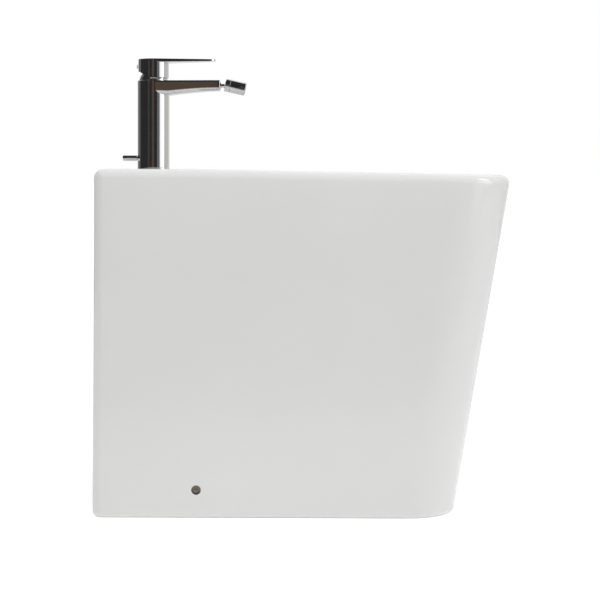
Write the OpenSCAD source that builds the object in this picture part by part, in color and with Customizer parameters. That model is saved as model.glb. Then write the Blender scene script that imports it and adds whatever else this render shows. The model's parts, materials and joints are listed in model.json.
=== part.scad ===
// Floor standing bidet: a glazed ceramic body with a one-hole lever mixer, a ball-jointed
// nozzle and a pop-up waste. The front looks along -Y, the wall is at +Y, the floor is z = 0.

/* [Ceramic body] */
// Height of the tap deck above the floor
body_h = 400; // [380:1:420]
// Width over the rim
body_w = 360; // [345:1:380]
// Length over the rim and the foot, wall to front
body_l = 488; // [470:1:510]
// How far the front of the foot is set back under the rim
foot_setback = 63; // [30:1:90]
// How much narrower the foot is on each side
side_draft = 7; // [0:0.5:14]
// How far the back leans away from the wall at the top
rear_lean = 3; // [0:0.5:6]
// Fall of the rim from the tap deck to the front
rim_fall = 5.5; // [0:0.5:12]
// Plan radius of the front corners at the rim
rim_corner_r = 76; // [50:1:120]
// Plan radius of the front corners at the foot
foot_corner_r = 58; // [35:1:75]
// Plan radius of the corners at the wall
rear_corner_r = 12; // [8:1:20]
// How far the front face swells in the middle
front_bow = 4; // [0:0.5:8]
// Radius of the rim's outer edge
rim_edge_r = 11; // [6:0.5:14]
// Thickness of the outer walls
skirt_wall = 12; // [10:0.5:16]
// Thickness of the tap deck and the rim
deck_wall = 18; // [15:0.5:22]

/* [Bowl] */
// Distance of the bowl's back edge from the wall
bowl_from_wall = 126; // [118:1:136]
// Width of the bowl's mouth
bowl_w = 266; // [250:1:274]
// Width of the rim in front of the bowl
front_rim = 46; // [40:1:54]
// Depth from the tap deck to the bowl's floor
bowl_depth = 155; // [140:1:165]
// Plan radius of the mouth's front corners
bowl_front_r = 112; // [90:1:118]
// Plan radius of the mouth's back corners
bowl_back_r = 96; // [80:1:110]
// Radius of the lip between rim and bowl
bowl_lip_r = 7; // [4:0.5:9]
// Thickness of the bowl's wall
bowl_wall = 11; // [9:0.5:14]
// Distance of the waste from the wall
drain_from_wall = 213; // [200:1:225]
// Diameter of the waste hole
drain_d = 46; // [44:0.5:48]
// Diameter of the overflow hole
overflow_d = 18; // [12:1:22]
// Width of the overflow duct inside
duct_w = 26; // [22:1:32]

/* [Back and fixings] */
// Width of the opening for the pipes in the back
service_w = 264; // [220:1:290]
// Height of the opening for the pipes in the back
service_h = 300; // [240:1:320]
// Distance of the side fixings from the wall
fixing_from_wall = 120; // [100:1:150]
// Height of the side fixing holes above the floor
fixing_h = 33; // [28:1:40]
// Diameter of the side fixing holes
fixing_hole_d = 11; // [10:0.5:14]
// Diameter of the side screws' heads
side_head_d = 9; // [8:0.25:9.5]
// How far the side screws sit above their holes' centres
screw_lift = 0.8; // [0:0.1:1]
// Diameter of the floor screw holes in the brackets
floor_hole_d = 8; // [6:0.5:10]

/* [Mixer] */
// Distance of the mixer's axis from the wall at the deck
tap_from_wall = 56; // [50:1:62]
// Diameter of the mixer's column
column_d = 39.6; // [38.5:0.1:44]
// Height of the column above the deck
column_h = 110.2; // [105:0.2:125]
// Reach of the spout's end face from the mixer's axis
spout_reach = 82.6; // [70:0.2:100]
// Depth of the spout at the column
spout_root_t = 18.6; // [16:0.2:22]
// Depth of the spout at its end
spout_end_t = 13.4; // [12:0.2:18]
// Width of the spout at the column
spout_root_w = 34; // [28:0.5:37]
// Width of the spout at its end
spout_end_w = 25; // [20:0.5:28]
// Diameter of the hole in the deck
tap_hole_d = 34; // [33:0.2:34.6]
// Diameter of the supply threads in the mixer's base
inlet_d = 10; // [9:0.5:10.5]
// Distance between the two supply threads
inlet_pitch = 17; // [15:0.5:18]
// Diameter of the fixing stud
stud_d = 8; // [6:0.5:8]

/* [Cartridge and handle] */
// Diameter of the cartridge
cartridge_d = 34.4; // [33.8:0.1:34.6]
// Height of the lever's pivot above the deck
pivot_h = 108; // [107:0.1:109]
// Radius of the bonnet dome about the pivot
dome_r = 18; // [17.6:0.1:18.2]
// Diameter of the handle's cap
cap_d = 38.2; // [37.8:0.1:39.2]
// Height of the handle's top above the deck
handle_top = 136.7; // [133:0.1:142]
// Reach of the lever's tip from the mixer's axis
lever_reach = 76.9; // [60:0.2:95]
// Thickness of the lever at the cap
lever_root_t = 4.2; // [3:0.1:6]
// Thickness of the lever at its tip
lever_tip_t = 2.4; // [1.6:0.1:3.6]
// Width of the lever at the cap
lever_root_w = 23; // [18:0.5:28]
// Width of the lever at its tip
lever_tip_w = 16; // [12:0.5:20]
// Angle that the lever lifts through
lift_angle = 25; // [15:0.5:26]

/* [Nozzle] */
// Diameter of the nozzle
nozzle_d = 16.3; // [15.8:0.1:20]
// Length of the nozzle
nozzle_l = 25.2; // [22:0.2:32]
// Length of the nozzle's collar
collar_l = 6.3; // [6:0.1:7]
// Angle of the nozzle below level at rest
nozzle_tilt = 12.4; // [0:0.2:20]
// Radius of the ball that the nozzle turns on
ball_r = 6; // [5.6:0.1:6.2]
// Distance of the ball's centre from the spout's end face
ball_reach = 11.1; // [10.6:0.1:14]

/* [Pop-up waste] */
// Travel of the pop-up knob
knob_travel = 25; // [15:0.5:30]
// Height of the knob's axis above the deck at rest
knob_h = 14.7; // [12:0.1:18]
// Diameter of the knob
knob_d = 6.9; // [5.5:0.1:9]
// Length of the knob outside the column
knob_l = 17.8; // [14:0.2:24]
// Diameter of the pull rod and the ball lever
rod_d = 4; // [3:0.1:4.4]
// Distance of the pull rod behind the mixer's axis
rod_offset = 12.5; // [12:0.1:13]
// Diameter of the waste flange
flange_d = 62; // [58:0.5:64]
// Diameter of the tailpiece
tail_d = 32; // [30:0.5:32]
// Length of the tailpiece below the waste nut
tail_l = 32; // [20:1:60]
// Distance of the lever's ball from the waste's axis
lever_ball_offset = 33; // [32:0.5:36]

/* [Hidden] */
$fn = 64;

// Colours, as the photo shows them
ceramic_col = [0.94, 0.94, 0.93];
chrome_col = [0.72, 0.73, 0.75];
brass_col = [0.78, 0.65, 0.36];
steel_col = [0.62, 0.63, 0.65];
rubber_col = [0.13, 0.13, 0.14];
plastic_col = [0.55, 0.56, 0.58];
bung_col = [0.47, 0.42, 0.35];
disc_col = [0.88, 0.86, 0.80];
liner_col = [0.82, 0.82, 0.80];
index_col = [0.35, 0.36, 0.40];

// Fits and small gaps
gap = 0.3;
slip = 0.05;
over = 1;

// Ends of the body along Y
rear_y = body_l / 2;
rim_front_y = -body_l / 2;
foot_front_y = rim_front_y + foot_setback;
rim_rear_y = rear_y - rear_lean;

// Bowl and waste places
bowl_front_y = rim_front_y + front_rim;
bowl_back_y = rear_y - bowl_from_wall;
bowl_l = bowl_back_y - bowl_front_y;
bowl_mid_y = (bowl_front_y + bowl_back_y) / 2;
drain_y = rear_y - drain_from_wall;
floor_z = body_h - bowl_depth;
floor_pad_r = 36;
boss_r = 38;
boss_t = 42;
boss_z = floor_z - boss_t;
ceiling_ease = 3;
deck_flat_y = bowl_back_y + bowl_wall + ceiling_ease;
overflow_z = body_h - 34;

// Mixer places, measured up from the deck
tap_y = rear_y - tap_from_wall;
column_r = column_d / 2;
pocket_r = cartridge_d / 2 + gap;
pocket_z = 60;
inlet_y = -1;
stud_y = -12;
gasket_t = 1.5;
gasket_squeeze = 0.3;
end_axis_z = column_h - spout_end_t / 2 + 0.8;
ball_y = -(spout_reach + ball_reach);
ball_z = end_axis_z;

// Cartridge levels, measured up from the deck
housing_floor_z = pocket_z + 4;
disc_t = 4;
carrier_top_z = pivot_h - 12.5;
finger_z = pivot_h - 15;
rotor_flange_z = carrier_top_z + 0.5;
rotor_flange_t = 3;
housing_top_z = rotor_flange_z + rotor_flange_t + gap;
shoulder_z = housing_top_z + 2.6;
housing_neck_z = shoulder_z + 4;
nut_top_z = shoulder_z + 5.4;
rotor_r = 11.7;
chamber_r = cartridge_d / 2 - 2.7;
disc_shift = 3;

// Pop-up levels
lever_swing = asin(knob_travel / (2 * lever_arm()));
lever_z = boss_z - 38;
lever_ball_y = drain_y + lever_ball_offset;
rod_y = tap_y + rod_offset;
clip_z = lever_z - lever_arm() * tan(lever_swing);
plug_travel = knob_travel * lever_ball_offset / lever_arm();
plug_closed_z = floor_z + 3;
eye_z = lever_z + lever_ball_offset * tan(lever_swing);
rod_r = rod_d / 2;
tube_r = drain_d / 2 - 2;
tube_bore_r = tube_r - 2.5;

function lever_arm() = rear_y - tap_from_wall + rod_offset - (rear_y - drain_from_wall) - lever_ball_offset;

// Straight blend between two values
function mix(a, b, t) = a + (b - a) * t;

// Value kept between two limits
function limit(v, lo, hi) = min(max(v, lo), hi);

// Height of the rim above the floor at a place along Y
function rim_z(y) = body_h - rim_fall * limit((deck_flat_y - y) / (deck_flat_y - rim_front_y), 0, 1);

// Right half of a rounded outline from the middle of the back to the middle of the front
back_steps = 2;
back_arc_steps = 8;
side_steps = 4;
front_arc_steps = 10;
front_steps = 3;
function half_outline(hw, front, back, fr, br, bow) = concat(
    [for (i = [0:back_steps - 1]) [(hw - br) * i / back_steps, back]],
    [for (i = [0:back_arc_steps]) let (a = 90 - 90 * i / back_arc_steps)
        [hw - br + br * cos(a), back - br + br * sin(a)]],
    [for (i = [1:side_steps - 1]) [hw, mix(back - br, front + bow + fr, i / side_steps)]],
    [for (i = [0:front_arc_steps]) let (a = -90 * i / front_arc_steps)
        [hw - fr + fr * cos(a), front + bow + fr + fr * sin(a)]],
    [for (i = [1:front_steps]) let (t = 1 - i / front_steps) [(hw - fr) * t, front + bow * t * t]]);

// Whole outline: the right half and its mirror image, with the two middle points once
function outline(hw, front, back, fr, br, bow) = let (h = half_outline(hw, front, back, fr, br, bow))
    concat(h, [for (i = [len(h) - 2:-1:1]) [-h[i][0], h[i][1]]]);

// Outline of the outer form at a share of the height, set in by an amount
function body_outline(share, inset) = outline(
    body_w / 2 - side_draft * (1 - share) - inset,
    mix(foot_front_y, rim_front_y, share) + inset,
    mix(rear_y, rim_rear_y, share) - inset,
    mix(foot_corner_r, rim_corner_r, share) - inset,
    max(rear_corner_r - inset, 3),
    front_bow);

// Outline of the bowl, drawn in towards the waste by a scale and grown by an amount
function bowl_outline(scale, grow) = let (hw = bowl_w / 2 * scale + grow,
        hl = bowl_l / 2 * scale + grow,
        mid = mix(drain_y, bowl_mid_y, (scale - floor_scale) / (1 - floor_scale)))
    outline(hw, mid - hl, mid + hl, min(bowl_front_r * scale + grow, hw - 1),
        min(bowl_back_r * scale + grow, hw - 1), 0);
floor_scale = floor_pad_r / (bowl_w / 2);

// One ring of the surface: outline points at heights measured down from the rim or up from the floor
function ring_below_rim(pts, drop) = [for (p = pts) [p[0], p[1], rim_z(p[1]) - drop]];
function ring_blend(pts, drop, level, t) = [for (p = pts) [p[0], p[1], mix(rim_z(p[1]) - drop, level, t)]];

// Section of the bowl: a super-ellipse from the steep wall to the flat floor
bowl_power = 2 / 2.5;
bowl_steps = 10;
function bowl_scale(a) = mix(floor_scale, 1, pow(cos(a), bowl_power));
function bowl_share(a) = pow(sin(a), bowl_power);

foot_r = 7;
edge_steps = 5;
outer_rings = concat(
    [for (i = [0:2]) let (a = 45 * i)
        [for (p = body_outline(0, foot_r * (1 - sin(a)))) [p[0], p[1], foot_r * (1 - cos(a))]]],
    [for (i = [1:5]) let (t = i / 6) ring_blend(body_outline(t, 0), rim_edge_r, foot_r, 1 - t)],
    [for (i = [0:edge_steps]) let (a = 90 * i / edge_steps)
        ring_below_rim(body_outline(1, rim_edge_r * (1 - cos(a))), rim_edge_r * (1 - sin(a)))],
    [for (i = [0:3]) let (a = 30 * i)
        ring_below_rim(bowl_outline(1, bowl_lip_r * (1 - sin(a))), bowl_lip_r * (1 - cos(a)))],
    [for (i = [1:bowl_steps]) let (a = 90 * i / bowl_steps)
        ring_blend(bowl_outline(bowl_scale(a), 0), bowl_lip_r, floor_z, bowl_share(a))]);
under_fillet = 7;
inner_rings = concat(
    [for (i = [7:-1:1]) let (a = 90 * i / 7)
        ring_blend(bowl_outline(bowl_scale(a), bowl_wall), deck_wall, floor_z - bowl_wall, bowl_share(a))],
    [ring_below_rim(bowl_outline(1, bowl_wall + ceiling_ease), deck_wall)],
    [for (i = [0:2]) let (a = 45 * i)
        ring_below_rim(body_outline(0.94, skirt_wall + under_fillet * (1 - sin(a))),
            deck_wall + under_fillet * (1 - cos(a)))],
    [for (i = [3:-1:1]) let (t = i / 4) ring_blend(body_outline(t * 0.94, skirt_wall),
        deck_wall + under_fillet, 0, 1 - t)],
    [[for (p = body_outline(0, skirt_wall)) [p[0], p[1], 0]]]);

// Faces between rings of n points, and a cap of triangles round an apex
function band(n, a, b) = [for (i = [0:n - 1]) let (j = (i + 1) % n)
    each [[a * n + i, b * n + j, b * n + i], [a * n + i, a * n + j, b * n + j]]];
function cap_last(n, a, apex) = [for (i = [0:n - 1]) [a * n + i, a * n + (i + 1) % n, apex]];
function cap_first(n, a, apex) = [for (i = [0:n - 1]) [a * n + (i + 1) % n, a * n + i, apex]];

// The cast form: one closed skin from the foot over the rim into the bowl, and back underneath
module cast_form() {
    n = len(outer_rings[0]);
    top = len(outer_rings);
    total = top + len(inner_rings);
    points = concat([for (r = outer_rings) each r], [for (r = inner_rings) each r],
        [[0, drain_y, floor_z], [0, drain_y, floor_z - bowl_wall]]);
    faces = concat(
        [for (k = [0:top - 2]) each band(n, k, k + 1)],
        cap_last(n, top - 1, total * n),
        cap_first(n, top, total * n + 1),
        [for (k = [top:total - 2]) each band(n, k, k + 1)],
        band(n, total - 1, 0));
    polyhedron(points = points, faces = faces, convexity = 8);
}

// Overflow duct behind the bowl: its side view, grown by an amount
duct_wall = 9;
duct_depth = 24;
duct_foot_l = 72;
duct_foot_z = boss_z + duct_wall + 2;
duct_knee_z = floor_z + 62;
duct_top_z = overflow_z + overflow_d / 2 + 5;
duct_start_y = drain_y + 20;
function duct_side(grow) = [
    [duct_start_y, duct_foot_z - grow],
    [drain_y + duct_foot_l + grow, duct_foot_z - grow],
    [bowl_back_y + duct_depth + grow, duct_knee_z],
    [bowl_back_y + duct_depth + grow, duct_top_z + grow],
    [duct_start_y, duct_top_z + grow]];

module duct_shell() {
    difference() {
        duct_block(duct_wall);
        duct_block(0);
    }
}

module duct_block(grow) {
    translate([-duct_w / 2 - grow, 0, 0]) rotate([90, 0, 90])
        linear_extrude(duct_w + 2 * grow) polygon(duct_side(grow));
}

module ceramic_body() {
    color(ceramic_col) difference() {
        union() {
            cast_form();
            difference() {
                duct_shell();
                bowl_room();
            }
            translate([0, drain_y, boss_z]) cylinder(r = boss_r, h = boss_t - 1);
        }
        translate([0, drain_y, boss_z - over]) cylinder(d = drain_d, h = boss_t + 2 * over);
        translate([-duct_w / 2 + 3, drain_y, duct_foot_z + 1]) cube([duct_w - 6, boss_r + 4, 16]);
        translate([0, bowl_back_y - duct_depth, overflow_z]) rotate([-90, 0, 0])
            cylinder(d = overflow_d, h = 2 * duct_depth - bowl_wall + ceiling_ease);
        translate([0, tap_y, body_h - deck_wall - over]) cylinder(d = tap_hole_d, h = deck_wall + 2 * over);
        service_opening();
        for (side = [-1, 1]) fixing_hole(side);
    }
}

// Room inside the bowl, kept free of the duct
module bowl_room() {
    n = len(outer_rings[0]);
    last = len(outer_rings) - 1;
    rings = [for (k = [last:-1:last - bowl_steps]) outer_rings[k]];
    top = [for (p = rings[bowl_steps]) [p[0], p[1], body_h + 20]];
    all = concat(rings, [top]);
    count = len(all);
    points = concat([for (r = all) each r], [[0, drain_y, floor_z], [0, drain_y, body_h + 20]]);
    faces = concat(cap_first(n, 0, count * n), [for (k = [0:count - 2]) each band(n, k, k + 1)],
        cap_last(n, count - 1, count * n + 1));
    polyhedron(points = points, faces = faces, convexity = 4);
}

service_r = 30;
cut_inside = 12;
cut_outside = 4;

// Opening in the back for the supply and waste pipes
module service_opening() {
    r = service_r;
    translate([0, rear_y - skirt_wall - rear_lean - cut_inside, 0]) rotate([90, 0, 180])
        linear_extrude(skirt_wall + rear_lean + cut_inside + cut_outside) union() {
            translate([-service_w / 2, -over]) square([service_w, service_h - r + over]);
            translate([-service_w / 2 + r, 0]) square([service_w - 2 * r, service_h]);
            for (side = [-1, 1]) translate([side * (service_w / 2 - r), service_h - r]) circle(r);
        }
}

fixing_y = rear_y - fixing_from_wall;
fixing_share = fixing_h / body_h;
wall_out_x = body_w / 2 - side_draft * (1 - fixing_share);
wall_in_x = wall_out_x - skirt_wall;
head_depth = 2.6;
head_t = 3;
screw_d = 5;
screw_z = fixing_h + screw_lift;

// Stepped hole through a side wall: wide for the head, narrow for the shank
module fixing_hole(side) {
    translate([side * (wall_in_x - 4), fixing_y, fixing_h]) rotate([0, side * 90, 0])
        cylinder(d = screw_d + 2.4, h = skirt_wall + 10);
    translate([side * (wall_out_x - head_depth - head_t), fixing_y, fixing_h]) rotate([0, side * 90, 0])
        cylinder(d = fixing_hole_d, h = 20);
}

bracket_l = 46;
bracket_w = 38;
bracket_h = 50;
bracket_t = 6;
bracket_face_x = wall_in_x - side_draft * bracket_h / body_h - gap;

module floor_brackets() {
    color(plastic_col) for (side = [-1, 1]) on_side(side) difference() {
        union() {
            translate([bracket_face_x - bracket_w, fixing_y - bracket_l / 2, 0])
                cube([bracket_w, bracket_l, bracket_t]);
            translate([bracket_face_x - bracket_t, fixing_y - bracket_l / 2, 0])
                cube([bracket_t, bracket_l, bracket_h]);
            for (y = [-bracket_l / 2, bracket_l / 2 - 5]) translate([0, fixing_y + y, 0]) bracket_rib();
            translate([bracket_face_x - bracket_t - 8, fixing_y, screw_z]) rotate([0, 90, 0])
                cylinder(d = 14, h = 10);
        }
        translate([bracket_face_x - bracket_w + 14, fixing_y, -over])
            cylinder(d = floor_hole_d, h = bracket_t + 2 * over);
        translate([bracket_face_x - bracket_t - 9, fixing_y, screw_z]) rotate([0, 90, 0])
            cylinder(d = screw_d + 2 * slip, h = 20);
    }
}

module bracket_rib() {
    translate([bracket_face_x, 5, 0]) rotate([90, 0, 0]) linear_extrude(5)
        polygon([[-bracket_t, bracket_t], [-bracket_t, bracket_h - 4], [-bracket_w + 4, bracket_t]]);
}

// Mirrored across the middle plane for the left side
module on_side(side) {
    if (side < 0) mirror([1, 0, 0]) children();
    else children();
}

module side_screws() {
    head_x = wall_out_x - head_depth - head_t;
    color(bung_col) for (side = [-1, 1]) translate([side * head_x, fixing_y, screw_z])
        rotate([0, side * 90, 0]) difference() {
            union() {
                cylinder(d = side_head_d, h = head_t);
                translate([0, 0, bracket_face_x - bracket_t - 5 - head_x])
                    cylinder(d = screw_d, h = head_x - bracket_face_x + bracket_t + 5.5);
            }
            for (turn = [0, 90]) rotate([0, 0, turn])
                translate([-2.4, -0.5, head_t - 1.2]) cube([4.8, 1, 2]);
        }
}

// Puts a piece on the deck at the mixer's axis
module at_tap() {
    translate([0, tap_y, body_h]) children();
}

// Side view slice of the spout: a rounded oblong across, d deep, at a distance from the axis
module spout_slice(dist, w, top, d) {
    r = min(d * 0.44, 7.5);
    translate([0, -dist, 0]) rotate([90, 0, 0]) linear_extrude(0.1)
        for (x = [-1, 1], z = [top - r, top - d + r]) translate([x * (w / 2 - r), z]) circle(r, $fn = 32);
}

module tap_body() {
    edge = 0.8;
    color(chrome_col) at_tap() difference() {
        union() {
            rotate_extrude() polygon([[0, gasket_squeeze], [column_r - edge, gasket_squeeze],
                [column_r, gasket_squeeze + edge], [column_r, column_h - edge],
                [column_r - edge, column_h], [0, column_h]]);
            hull() {
                spout_slice(0, spout_root_w, spout_root_top, spout_root_t + 1.5);
                spout_slice(spout_reach - 0.1, spout_end_w, end_axis_z + spout_end_t / 2, spout_end_t);
            }
            hull() {
                spout_slice(0, spout_root_w, spout_root_top, spout_root_t + 13);
                spout_slice(column_r + 2.6, spout_root_w - 4, column_h, spout_root_t + 2.6);
            }
            hull() {
                spout_slice(0, spout_root_w, spout_root_top, spout_root_t + 4.5);
                spout_slice(column_r + 7, spout_root_w - 4, column_h, spout_root_t);
            }
        }
        translate([0, 0, pocket_z]) cylinder(r = pocket_r, h = 60);
        for (x = [-1, 1]) translate([x * inlet_pitch / 2, inlet_y, -over]) {
            cylinder(d = inlet_d, h = 13);
            cylinder(d = 6, h = pocket_z + 2 * over);
        }
        translate([0, stud_y, -over]) cylinder(d = stud_d, h = 16);
        translate([0, rod_offset, -over]) cylinder(r = rod_room_r, h = knob_h + knob_travel + 8);
        translate([-slot_w / 2, rod_offset, knob_h - slot_w / 2])
            cube([slot_w, 20, knob_travel + slot_w]);
        difference() {
            translate([0, 0, -over]) cylinder(r = column_r - 1, h = over + gasket_t);
            translate([0, 0, -2 * over]) cylinder(r = gasket_in_r - slip, h = 4 * over + gasket_t);
        }
        outlet_bore();
        translate([0, -spout_reach + 8, end_axis_z]) rotate([90, 0, 0]) cylinder(r = stud_thread_r, h = 12);
    }
}
spout_root_top = column_h - 0.25;
rod_room_r = 3.8;
slot_w = 4.4;
gasket_in_r = 16.8;
stud_thread_r = 4.5;
outlet_r = 3.2;
outlet_z = 96.2;

// Waterway from the cartridge pocket to the ball joint, falling towards the column
module outlet_bore() {
    from_y = -pocket_r + 2;
    from_z = outlet_z;
    to_y = -spout_reach + 7;
    rise = end_axis_z - from_z;
    run = from_y - to_y;
    translate([0, from_y, from_z]) rotate([90 - atan(rise / run), 0, 0])
        cylinder(r = outlet_r, h = sqrt(rise * rise + run * run));
}

module tap_base_gasket() {
    color(rubber_col) at_tap() difference() {
        cylinder(r = column_r - 1 - slip, h = gasket_t);
        translate([0, 0, -over]) cylinder(r = gasket_in_r, h = gasket_t + 2 * over);
    }
}

clamp_r = 27;
rubber_t = 3;
plate_t = 2.5;
nut_l = 15;
stud_below = 30;

module tap_stud() {
    color(steel_col) at_tap() translate([0, stud_y, -deck_wall - stud_below])
        cylinder(d = stud_d - 2 * slip, h = deck_wall + stud_below + 14);
}

// Horseshoe plate under the deck, open to the back for the pipes and the pull rod
module horseshoe(t, hole_d) {
    difference() {
        cylinder(r = clamp_r, h = t);
        translate([-clamp_r + 11, -7, -over]) cube([2 * clamp_r - 22, clamp_r + 8, t + 2 * over]);
        translate([0, stud_y, -over]) cylinder(d = hole_d, h = t + 2 * over);
    }
}

module clamp_rubber() {
    color(rubber_col) at_tap() translate([0, 0, -deck_wall - rubber_t]) horseshoe(rubber_t, stud_d + 1);
}

module clamp_plate() {
    color(steel_col) at_tap() translate([0, 0, -deck_wall - rubber_t - plate_t])
        horseshoe(plate_t, stud_d + 0.6);
}

module clamp_nut() {
    color(brass_col) at_tap() translate([0, stud_y, -deck_wall - rubber_t - plate_t - nut_l])
        difference() {
            cylinder(r = 7.2, h = nut_l, $fn = 6);
            translate([0, 0, -over]) cylinder(d = stud_d, h = nut_l + 2 * over);
        }
}

// Three ports in the cartridge floor: two inlets and an outlet
port_d = 5;
module ports(d, h) {
    for (p = [[inlet_pitch / 2 - 2.5, inlet_y], [-inlet_pitch / 2 + 2.5, inlet_y], [0, 8]])
        translate([p[0], p[1], 0]) cylinder(d = d, h = h);
}

module cartridge_housing() {
    seat = pocket_z;
    color(plastic_col) at_tap() difference() {
        union() {
            translate([0, 0, seat]) cylinder(d = cartridge_d, h = shoulder_z - seat);
            cylinder_at(shoulder_z, housing_neck_z, cartridge_d / 2 - 2.6);
        }
        cylinder_at(housing_floor_z, housing_top_z, chamber_r);
        cylinder_at(housing_floor_z, housing_neck_z + over, rotor_r + gap);
        translate([0, 0, seat - over]) ports(port_d, 8);
        translate([0, 0, seat - over]) ports(port_d + 4, 1.2 + over);
    }
}

// Cylinder about the mixer's axis between two levels
module cylinder_at(z0, z1, r) {
    translate([0, 0, z0]) cylinder(r = r, h = z1 - z0);
}

module cartridge_seals() {
    color(rubber_col) at_tap() translate([0, 0, pocket_z]) difference() {
        ports(port_d + 4 - 2 * slip, 1.2);
        translate([0, 0, -over]) ports(port_d, 4);
    }
}

module fixed_disc() {
    color(disc_col) at_tap() translate([0, 0, housing_floor_z]) difference() {
        cylinder(r = chamber_r - gap, h = disc_t);
        translate([0, 0, -over]) ports(port_d, disc_t + 2 * over);
    }
}

disc_r = chamber_r - disc_shift - 1;
finger_r = 3;
socket_r = finger_r + 1.3;
module moving_disc() {
    color(disc_col) at_tap() translate([0, disc_shift, housing_floor_z + disc_t + gap / 2]) difference() {
        cylinder(r = disc_r, h = disc_t);
        translate([-5, -6, -over]) cube([10, 10, 1.6 + over]);
    }
}

module disc_carrier() {
    from = housing_floor_z + 2 * disc_t + gap / 2;
    color(plastic_col) at_tap() difference() {
        translate([0, disc_shift, from]) cylinder(r = disc_r, h = carrier_top_z - from);
        cylinder_at(finger_z - 5, carrier_top_z + over, socket_r);
    }
}

module cartridge_rotor() {
    top = pivot_h + 5;
    color(plastic_col) at_tap() difference() {
        union() {
            cylinder_at(rotor_flange_z, rotor_flange_z + rotor_flange_t, chamber_r - gap);
            cylinder_at(rotor_flange_z, top, rotor_r);
        }
        translate([-stem_w / 2 - gap, -9, rotor_flange_z - over])
            cube([stem_w + 2 * gap, 16.5, top - rotor_flange_z + 2 * over]);
        translate([-20, 0, pivot_h]) rotate([0, 90, 0]) cylinder(d = pin_d, h = 40);
    }
}
stem_w = 8;
pin_d = 3;

module pivot_pin() {
    color(steel_col) at_tap() translate([-rotor_r + 0.5, 0, pivot_h]) rotate([0, 90, 0])
        cylinder(d = pin_d, h = 2 * rotor_r - 1);
}

stem_top = handle_top - 4.5;
module lever_stem() {
    color(steel_col) at_tap() difference() {
        union() {
            translate([-stem_w / 2, -stem_w / 2, pivot_h - 4]) cube([stem_w, stem_w, stem_top - pivot_h + 4]);
            cylinder_at(finger_z, pivot_h - 3.5, 2.4);
            translate([0, 0, finger_z]) sphere(r = finger_r);
        }
        translate([-20, 0, pivot_h]) rotate([0, 90, 0]) cylinder(d = pin_d + 2 * slip, h = 40);
    }
}

module cartridge_nut() {
    color(brass_col) at_tap() difference() {
        cylinder_at(shoulder_z, nut_top_z, pocket_r - slip);
        cylinder_at(shoulder_z - over, nut_top_z + over, cartridge_d / 2 - 2.3);
    }
}

module bonnet_dome() {
    mouth_r = 13.6;
    skirt_r = pocket_r - slip;
    color(chrome_col) at_tap() difference() {
        union() {
            intersection() {
                translate([0, 0, pivot_h]) sphere(r = dome_r);
                cylinder_at(column_h, pivot_h + dome_r, dome_r + 1);
            }
            cylinder_at(nut_top_z, column_h, skirt_r);
        }
        translate([0, 0, pivot_h]) sphere(r = dome_r - 1.6);
        cylinder_at(nut_top_z - over, pivot_h, skirt_r - 1.6);
        cylinder_at(pivot_h, pivot_h + dome_r + over, mouth_r);
    }
}

cap_front_z = column_h + 3.1;
cap_cut_z = column_h + 3.6;
cap_cut_spare = 3.8;
cap_cut_slope = lift_angle + cap_cut_spare;
cavity_r = dome_r + 0.4;

module handle() {
    edge = 0.9;
    cap_r = cap_d / 2;
    color(chrome_col) at_tap() difference() {
        union() {
            rotate_extrude() polygon([[0, cap_front_z], [cap_r - 0.4, cap_front_z],
                [cap_r, cap_front_z + 0.4], [cap_r, handle_top - edge], [cap_r - edge * 0.3, handle_top - edge * 0.3],
                [cap_r - edge, handle_top], [0, handle_top]]);
            hull() {
                lever_slice(cap_r - 8, lever_root_w, lever_root_t);
                lever_slice(lever_reach - lever_tip_w / 2 + 1, lever_tip_w, lever_tip_t);
                translate([0, -lever_reach + 6, handle_top - lever_tip_t])
                    cylinder(r = 6, h = lever_tip_t - 0.3, $fn = 32);
            }
        }
        translate([0, 0, pivot_h]) sphere(r = cavity_r);
        translate([0, 4.2, cap_cut_z]) rotate([cap_cut_slope, 0, 0])
            translate([-30, -6, -30]) cube([60, 40, 30]);
        translate([-stem_w / 2 - slip, -stem_w / 2 - slip, pivot_h])
            cube([stem_w + 2 * slip, stem_w + 2 * slip, stem_top + slip - pivot_h]);
        translate([0, 0, index_z]) rotate([-90, 0, 0]) {
            cylinder(d = grub_d, h = cap_r + 2);
            translate([0, 0, cap_r - button_depth]) cylinder(d = button_d, h = 6);
        }
    }
}
index_z = 127.6;
button_d = 5;
button_depth = 3.2;
grub_d = 4;

// Thin cross-section of the lever blade, flat on top
module lever_slice(dist, w, t) {
    r = t * 0.42;
    translate([0, -dist, 0]) rotate([90, 0, 0]) linear_extrude(0.1)
        for (x = [-1, 1], z = [handle_top - r, handle_top - t + r])
            translate([x * (w / 2 - r), z]) circle(r, $fn = 16);
}

module handle_set_screw() {
    color(steel_col) at_tap() translate([0, stem_w / 2, index_z]) rotate([-90, 0, 0]) difference() {
        cylinder(d = grub_d - 2 * slip, h = 9);
        translate([0, 0, 6]) cylinder(r = 1.2, h = 4, $fn = 6);
    }
}

module index_button() {
    color(index_col) at_tap() translate([0, cap_d / 2 - button_depth, index_z]) rotate([-90, 0, 0]) {
        cylinder(d = button_d - 2 * slip, h = button_depth + 1);
        translate([0, 0, button_depth + 1]) cylinder(d1 = button_d - 2 * slip, d2 = button_d - 1.4, h = 0.8);
    }
}

// Puts a piece on the nozzle's axis, with the ball's centre at the origin
module at_ball(tilt) {
    at_tap() translate([0, ball_y, ball_z]) rotate([90 + tilt, 0, 0]) children();
}

neck_r = 2.5;
liner_r = ball_r + 1.2;
seat_r = liner_r + slip;
collar_back = 4.9;
collar_front = collar_l - collar_back;
nozzle_front = nozzle_l - collar_back;

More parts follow.
